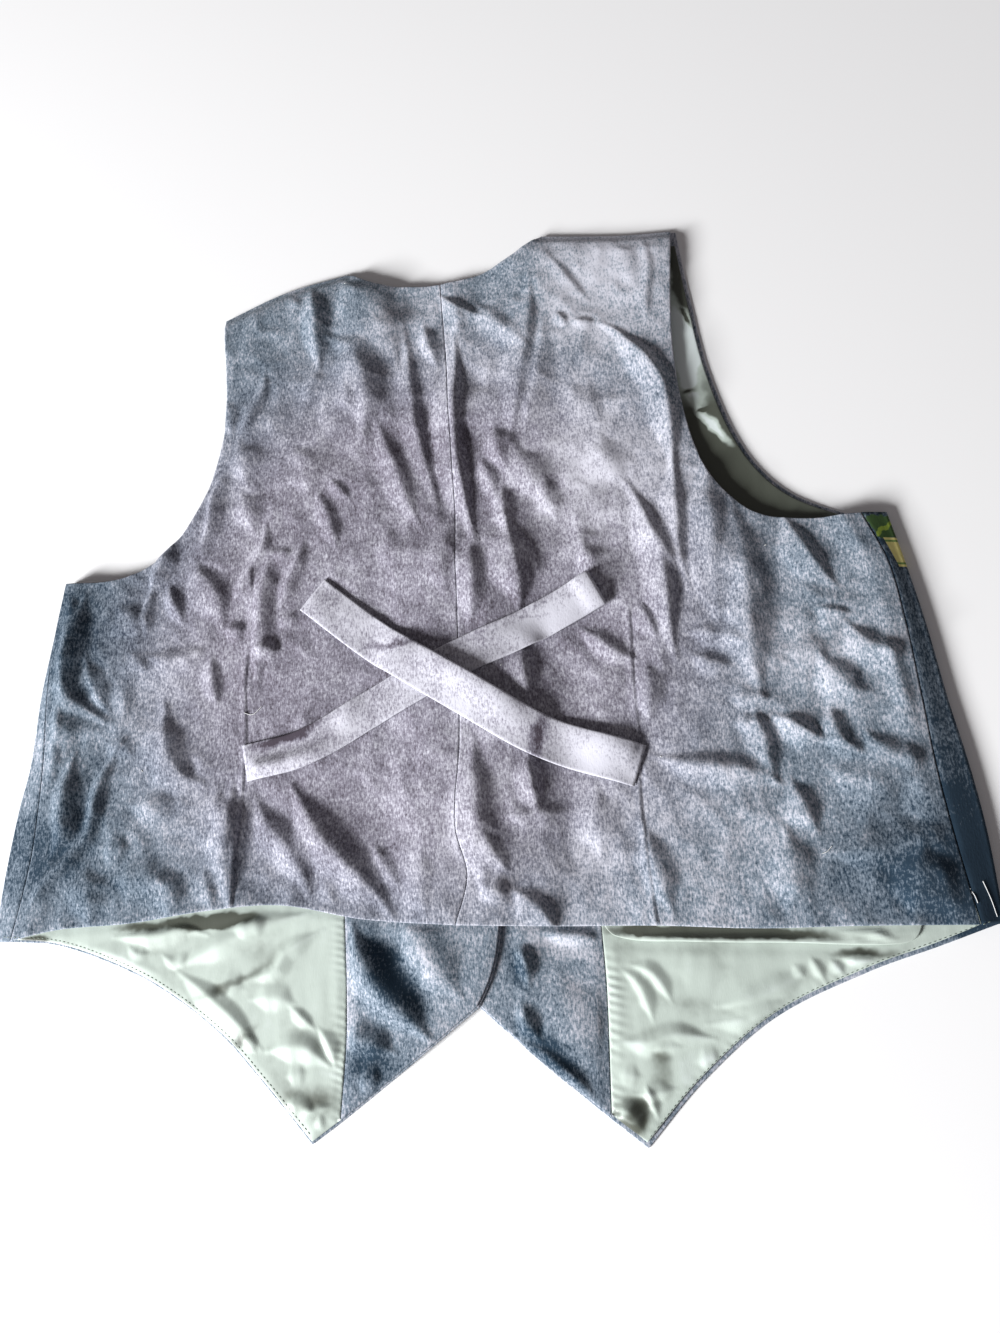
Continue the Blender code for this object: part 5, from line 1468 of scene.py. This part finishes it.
class WAISTCOAT_OT_front_linings(bpy.types.Operator):
    """Makes the two satin linings of the fronts"""

    bl_idname = "waistcoat.make_front_linings"
    bl_label = "Front linings"

    def execute(self, context):
        settings = context.scene.waistcoat
        step, seam = 0.7 * settings.step / MM, SEAM_GAP / 2
        turn = TURN_RADIUS + FRONT_CLOTH / 2 + SIDE_INSET
        left_side = side_run(step, LEFT_SIDE, "fold", -1, turn, False)
        right_side = side_run(step, RIGHT_SIDE, "fold", 1, turn, True)
        left = outline(
            step, ((tuple(left_side[-1]),) + LEFT_HEM[1:], LEFT_HEM_INSET),
            (LEFT_POINT_EDGE[:2], LEFT_HEM_INSET), (LEFT_FACING_SEAM[::-1], seam),
            ((LEFT_FACING_SEAM[0], LEFT_ARM[0]), SHOULDER_INSET),
            (LEFT_ARM[:-1] + (tuple(left_side[0]),), ARM_INSET), (left_side, 0),
        )
        right = outline(
            step, (RIGHT_POINT_EDGE[-2:], RIGHT_HEM_INSET),
            (RIGHT_HEM[:-1] + (tuple(right_side[0]),), RIGHT_HEM_INSET),
            (right_side, 0), ((tuple(right_side[-1]),) + RIGHT_ARM[1:], RIGHT_HEM_INSET),
            ((RIGHT_ARM[-1], RIGHT_FACING_SEAM[-1]), SHOULDER_INSET), (RIGHT_FACING_SEAM[::-1], seam),
        )

        def left_height(points):
            edges = (LEFT_HEM, LEFT_POINT_EDGE, LEFT_FACING_SEAM)
            sewn = (Puckers(LEFT_FACING_SEAM, 5.0, 6.0, 0.7), Puckers(LEFT_HEM, 7.0, 4.0, 0.35))
            rise = below_hem(points, LEFT_LINING_FOLDS, LEFT_LINING_REST, edges, sewn)
            return LEVEL_FACING + closing_rise(points, True) + rise

        def right_height(points):
            edges = (RIGHT_HEM, RIGHT_POINT_EDGE, RIGHT_FACING_SEAM, LINING_HEM_RIGHT)
            sewn = (Puckers(RIGHT_FACING_SEAM, 5.5, 8.0, 1.1), Puckers(RIGHT_HEM, 6.0, 5.0, 0.45))
            rise = below_hem(points, RIGHT_LINING_FOLDS, RIGHT_LINING_REST, edges, sewn)
            top = np.interp(points[:, 0], *RIGHT_LINING_TOP)
            below = smooth((top - points[:, 1]) / RIGHT_LINING_FADE)
            return LEVEL_FACING + closing_rise(points, False) + rise * below

        def right_detail(spots):
            left, low = ARMHOLE_DETAIL
            return shows_below(spots) | ((spots[:, 0] > left) & (spots[:, 1] > low))

        satin = satin_paint("front_lining_satin", settings)
        jobs = (
            ("front_lining_left", left, left_height, shows_below, "lining_left", "front_wool_left"),
            ("front_lining_right", right, right_height, right_detail, "lining_right", "front_wool_right"),
        )
        for name, edge, height, detail, node, below in jobs:
            made = sheet(name, edge, height, LINING_CLOTH, step, detail)
            at_home(made, satin, node)
        return {"FINISHED"}


class WAISTCOAT_OT_ties(bpy.types.Operator):
    """Makes the two ties, each from its dart over the cloth below it"""

    bl_idname = "waistcoat.make_ties"
    bl_label = "Ties"

    def execute(self, context):
        settings = context.scene.waistcoat
        step = settings.step / MM
        carriers = [need("wool_back_left"), need("wool_back_right")]
        wool = wool_paint("tie_wool", settings, lighter=0.30, marks=TIE_PAINTED_LIGHT_AND_SHADE)
        for tie in TIES:
            made = tie_strip(tie, carriers, step)
            at_home(made, wool, tie.name)
            carriers.append(made)
        return {"FINISHED"}


def bridged(found, step):
    """The heights raised where a tie bridges the hollows of the cloth below it, and smoothed."""
    raised = found.copy()
    for k in range(1, round(TIE_REACH / step)):
        drop = TIE_SAG * (k * step) ** TIE_SAG_POWER
        raised[k:] = np.maximum(raised[k:], found[:-k] - drop)
        raised[:-k] = np.maximum(raised[:-k], found[k:] - drop)
    for k in range(1, 5):
        drop = TIE_SAG_ACROSS * k
        raised[:, k:] = np.maximum(raised[:, k:], raised[:, :-k] - drop)
        raised[:, :-k] = np.maximum(raised[:, :-k], raised[:, k:] - drop)
    for _ in range(3):
        soft = raised.copy()
        soft[1:-1] = (raised[:-2] + 2 * raised[1:-1] + raised[2:]) / 4
        raised = np.maximum(soft, found)
    return raised


def tie_strip(tie, carriers, step):
    """A flat tie in sections from its root, resting on the highest cloth near each spot."""
    middle = curve(tie.path, step)
    columns = np.sin(np.linspace(-math.pi / 2, math.pi / 2, TIE_COLUMNS))
    places = middle[:, None] + directions(middle)[1][:, None] * columns[:, None] * tie.width / 2
    tree = tree_of(carriers)
    found = np.array([[height_below(tree, spot) or 0.0 for spot in row] for row in places])
    s = np.concatenate([[0], np.cumsum(np.linalg.norm(np.diff(middle, axis=0), axis=1))])[:, None]
    lift = np.zeros_like(found)
    for along, place, long_reach, wide_reach, height in tie.lifts:
        lift += height * np.exp(-(((s - along) / long_reach) ** 2) - ((columns - place) / wide_reach) ** 2)
    sewn = smooth(s / TIE_ROOT)
    bed = TIE_BED_ROOT + TIE_BED_REST * sewn
    under = bridged(found, step) + bed + lift * smooth(s / TIE_FIXED)
    count = len(middle)
    corners, faces, crests, edges = [], [], [], []
    to_rim = (1 - np.abs(columns)) * tie.width / 2
    side_round = rim_share(to_rim / TIE_RIM, TIE_RIM_SHARE)
    end_round = rim_share(np.arange(count)[::-1] / TIE_END_RIM, TIE_RIM_SHARE)
    end_round = np.minimum(end_round, TIE_ROOT_SHARE + (1 - TIE_ROOT_SHARE) * sewn[:, 0])
    for i in range(count):
        for sign, order in ((-1, range(TIE_COLUMNS)), (1, range(TIE_COLUMNS - 1, -1, -1))):
            for j in order:
                z = under[i, j] + TIE_CLOTH / 2 * (1 + sign * side_round[j] * end_round[i])
                corners.append((*places[i, j], z))
                # a tie's lift is kept as its crest and its rims as its edge, so that it is painted paler
                # where it stands up and along its sides: painted highlights
                crests.append(lift[i, j] * 0.3)
                edges.append(math.exp(-to_rim[j] / EDGE_REACH))
    ring = 2 * TIE_COLUMNS
    for i in range(count - 1):
        for k in range(ring):
            after = (k + 1) % ring
            faces.append((i * ring + k, i * ring + after, (i + 1) * ring + after, (i + 1) * ring + k))
    for i in (0, count - 1):
        for k in range(TIE_COLUMNS - 1):
            faces.append(tuple(i * ring + n for n in (k, k + 1, ring - 2 - k, ring - 1 - k)))
    made = sheet_object(f"{tie.name}_wool", corners, faces, {"crest": crests, "edge": edges})
    outward_faces(made)
    return made


class WAISTCOAT_OT_threads(bpy.types.Operator):
    """Makes the rows of stitches along the hems of the linings, the lint and the loose threads"""

    bl_idname = "waistcoat.make_threads"
    bl_label = "Stitches and threads"

    def execute(self, context):
        cloth = tree_of([need(name) for name in CLOTH_UNDER_THREADS])
        green = thread_paint("lining_thread", (0.10, 0.13, 0.11), (0.30, 0.36, 0.31))
        white = thread_paint("loose_cotton", (0.62, 0.63, 0.62), (0.86, 0.87, 0.86))
        one = single_stitch(context)
        for name, hem in STITCH_ROWS:
            row = laid_stitches(one, name, stitch_places(hem), cloth)
            at_home(row, green)
        lint = laid_stitches(one, "lint", LINT, cloth)
        at_home(lint, white)
        bpy.data.objects.remove(one)
        for number, path in enumerate(LOOSE_THREADS, start=1):
            made = loose_thread(context, f"loose_thread_{number}", path, cloth)
            at_home(made, white)
        return {"FINISHED"}


def single_stitch(context):
    """One stitch: a low ball drawn out along X."""
    bpy.ops.object.select_all(action="DESELECT")
    bpy.ops.mesh.primitive_uv_sphere_add(segments=8, ring_count=5, radius=0.5 * MM)
    one = context.object
    bpy.ops.object.mode_set(mode="EDIT")
    bpy.ops.mesh.select_all(action="SELECT")
    bpy.ops.transform.resize(value=(STITCH_LENGTH, STITCH_WIDTH, STITCH_HEIGHT))
    bpy.ops.object.mode_set(mode="OBJECT")
    bpy.ops.object.shade_smooth()
    return one


def stitch_places(hem):
    """The places of a row of stitches inside a hem, and the way each one points."""
    row = curve(hem, STITCH_PITCH)
    run, inward = directions(row)
    spots = row + STITCH_INSET * inward
    turns = np.arctan2(run[:, 1], run[:, 0])
    return [(x, y, turn) for (x, y), turn in zip(spots[2:-2], turns[2:-2])]


def laid_stitches(one, name, places, cloth):
    """Copies of one stitch lying on the cloth, joined into one piece."""
    bpy.ops.object.select_all(action="DESELECT")
    for x, y, turn in places:
        height = height_below(cloth, (x, y))
        if height is None:
            raise RuntimeError(f"{name} has no cloth under ({x:.0f}, {y:.0f})")
        made = one.copy()
        made.data = one.data.copy()
        spot_in_model = Vector((x, y - PLAN_CENTRE_Y, height + STITCH_HEIGHT * 0.2)) * MM
        made.data.transform(Matrix.Translation(spot_in_model) @ Matrix.Rotation(turn, 4, "Z"))
        bpy.context.collection.objects.link(made)
        made.select_set(True)
    bpy.context.view_layer.objects.active = made
    bpy.ops.object.join()
    made.name = name
    return made


def loose_thread(context, name, path, cloth):
    """A thin cotton thread lying on the cloth, or on the floor beyond it."""
    bpy.ops.object.select_all(action="DESELECT")
    bpy.ops.curve.primitive_bezier_curve_add()
    made = context.object
    made.name = name
    line = made.data
    line.splines.clear()
    spots = curve(path, 1.0)
    spline = line.splines.new("POLY")
    spline.points.add(len(spots) - 1)
    for point, (x, y) in zip(spline.points, spots):
        height = (height_below(cloth, (x, y)) or 0.0) + 1.2 * THREAD_RADIUS
        point.co = (x * MM, (y - PLAN_CENTRE_Y) * MM, height * MM, 1.0)
    line.bevel_depth, line.bevel_resolution, line.use_fill_caps = THREAD_RADIUS * MM, 1, True
    bpy.ops.object.convert(target="MESH")
    bpy.ops.object.shade_smooth()
    return context.object


class WAISTCOAT_OT_buttons(bpy.types.Operator):
    """Makes the four buttons under the closing"""

    bl_idname = "waistcoat.make_buttons"
    bl_label = "Buttons"

    def execute(self, context):
        paint = Paint("button_horn")
        grain = paint.noise(paint.turned(paint.place(), 0.4, (1, 4, 1)), 120.0, 4.0, 0.6)
        colour = paint.mix(grain, (0.010, 0.009, 0.009), (0.060, 0.050, 0.046))
        horn = paint.finish(Base_Color=colour, Roughness=0.25 + grain * 0.2)
        for number, y in enumerate(BUTTON_Y, start=1):
            bpy.ops.object.select_all(action="DESELECT")
            bpy.ops.mesh.primitive_cylinder_add(
                vertices=40, radius=BUTTON_RADIUS * MM, depth=BUTTON_THICK * MM,
                location=(OVERLAP_X * MM, (y - PLAN_CENTRE_Y) * MM, (BUTTON_FLOOR + BUTTON_THICK / 2) * MM),
            )
            made = context.object
            made.name = f"horn_button_{number}"
            bpy.ops.object.mode_set(mode="EDIT")
            bpy.ops.mesh.select_all(action="DESELECT")
            bpy.ops.object.mode_set(mode="OBJECT")
            for face in made.data.polygons:
                face.select = face.normal.z < -0.9
            bpy.ops.object.mode_set(mode="EDIT")
            bpy.ops.mesh.select_mode(type="FACE")
            bpy.ops.mesh.inset(thickness=BUTTON_RIM)
            bpy.ops.mesh.inset(thickness=BUTTON_WELL_SLOPE, depth=-BUTTON_WELL)
            bpy.ops.object.mode_set(mode="OBJECT")
            bevel = made.modifiers.new("rim", "BEVEL")
            bevel.width, bevel.segments, bevel.angle_limit = BUTTON_BEVEL, 2, math.radians(50)
            bpy.ops.object.modifier_apply(modifier=bevel.name)
            bpy.ops.object.transform_apply(location=True, rotation=True, scale=True)
            bpy.ops.object.shade_smooth_by_angle(angle=math.radians(35))
            at_home(made, horn, f"button_{number}")
        return {"FINISHED"}


class WAISTCOAT_OT_stage(bpy.types.Operator):
    """Makes the floor, the lamp, the even light and the camera"""

    bl_idname = "waistcoat.make_stage"
    bl_label = "Stage"

    def execute(self, context):
        settings = context.scene.waistcoat
        bpy.ops.object.select_all(action="DESELECT")
        bpy.ops.mesh.primitive_plane_add(size=30.0, location=(0, 0, -0.0002))
        floor = context.object
        floor.name = "floor"
        paint = Paint("floor_paper")
        cloud = paint.noise(paint.place(), 2.0)
        pale = paint.mix(cloud, (0.93, 0.93, 0.93), (0.95, 0.95, 0.95))
        paint_piece(floor, paint.finish(Base_Color=pale, Roughness=0.9))
        world = bpy.data.worlds.new("studio")
        world.use_nodes = True
        sky = world.node_tree.nodes["Background"].inputs
        sky["Strength"].default_value = settings.sky_light
        sky["Color"].default_value = (*SKY_COLOUR, 1)
        context.scene.world = world
        lamp = bpy.data.lights.new("key", "AREA")
        lamp.shape, lamp.size, lamp.energy = "SQUARE", KEY_SIZE, settings.key_light
        lamp.color = KEY_COLOUR
        key = bpy.data.objects.new("key", lamp)
        turn, rise = math.radians(KEY_FROM), math.radians(KEY_RISE)
        key.location = KEY_AWAY * Vector(
            (math.cos(turn) * math.cos(rise), math.sin(turn) * math.cos(rise), math.sin(rise))
        )
        key.rotation_euler = (Vector((0, 0, 0)) - Vector(key.location)).to_track_quat("-Z", "Y").to_euler()
        context.scene.collection.objects.link(key)
        context.scene.collection.objects.link(camera_object())
        context.scene.camera = bpy.data.objects["camera"]
        context.scene.view_settings.view_transform = "Standard"
        return {"FINISHED"}


def camera_object():
    """The camera at the photograph's own place."""
    lens = bpy.data.cameras.new("camera")
    lens.sensor_width = SENSOR
    lens.lens = CAMERA_FOCAL / IMAGE_HEIGHT * SENSOR
    lens.clip_start = 0.01
    sa, ca = math.sin(CAMERA_AZIMUTH), math.cos(CAMERA_AZIMUTH)
    st, ct = math.sin(CAMERA_TILT), math.cos(CAMERA_TILT)
    forward = Vector((sa * st, ca * st, -ct))
    up = Vector((sa * ct, ca * ct, st))
    right = forward.cross(up)
    cr, sr = math.cos(CAMERA_ROLL), math.sin(CAMERA_ROLL)
    right, up = cr * right + sr * up, cr * up - sr * right
    x, y, z = CAMERA_PLACE
    made = bpy.data.objects.new("camera", lens)
    made.matrix_world = Matrix(
        (
            (right.x, up.x, -forward.x, x),
            (right.y, up.y, -forward.y, y - PLAN_CENTRE_Y * MM),
            (right.z, up.z, -forward.z, z),
            (0, 0, 0, 1),
        )
    )
    return made


class WAISTCOAT_PT_panel(bpy.types.Panel):
    """The waistcoat's settings and pieces"""

    bl_idname = "WAISTCOAT_PT_panel"
    bl_label = "Waistcoat"
    bl_space_type = "VIEW_3D"
    bl_region_type = "UI"
    bl_category = "Waistcoat"

    def draw(self, context):
        settings = context.scene.waistcoat
        for name in WaistcoatSettings.__annotations__:
            self.layout.prop(settings, name)
        for operator in OPERATORS:
            self.layout.operator(operator.bl_idname)


OPERATORS = (
    WAISTCOAT_OT_fronts,
    WAISTCOAT_OT_facings,
    WAISTCOAT_OT_front_linings,
    WAISTCOAT_OT_back_lining,
    WAISTCOAT_OT_back,
    WAISTCOAT_OT_ties,
    WAISTCOAT_OT_threads,
    WAISTCOAT_OT_buttons,
    WAISTCOAT_OT_stage,
)
CLASSES = (WaistcoatSettings, *OPERATORS, WAISTCOAT_PT_panel)


def register():
    for made in CLASSES:
        bpy.utils.register_class(made)
    bpy.types.Scene.waistcoat = bpy.props.PointerProperty(type=WaistcoatSettings)


def unregister():
    del bpy.types.Scene.waistcoat
    for made in reversed(CLASSES):
        bpy.utils.unregister_class(made)


def main():
    register()
    bpy.ops.object.select_all(action="DESELECT")
    bpy.ops.waistcoat.make_fronts()
    bpy.ops.waistcoat.make_facings()
    bpy.ops.waistcoat.make_front_linings()
    bpy.ops.waistcoat.make_back_lining()
    bpy.ops.waistcoat.make_back()
    bpy.ops.waistcoat.make_ties()
    bpy.ops.waistcoat.make_threads()
    bpy.ops.waistcoat.make_buttons()
    bpy.ops.waistcoat.make_stage()


if __name__ == "__main__":
    main()
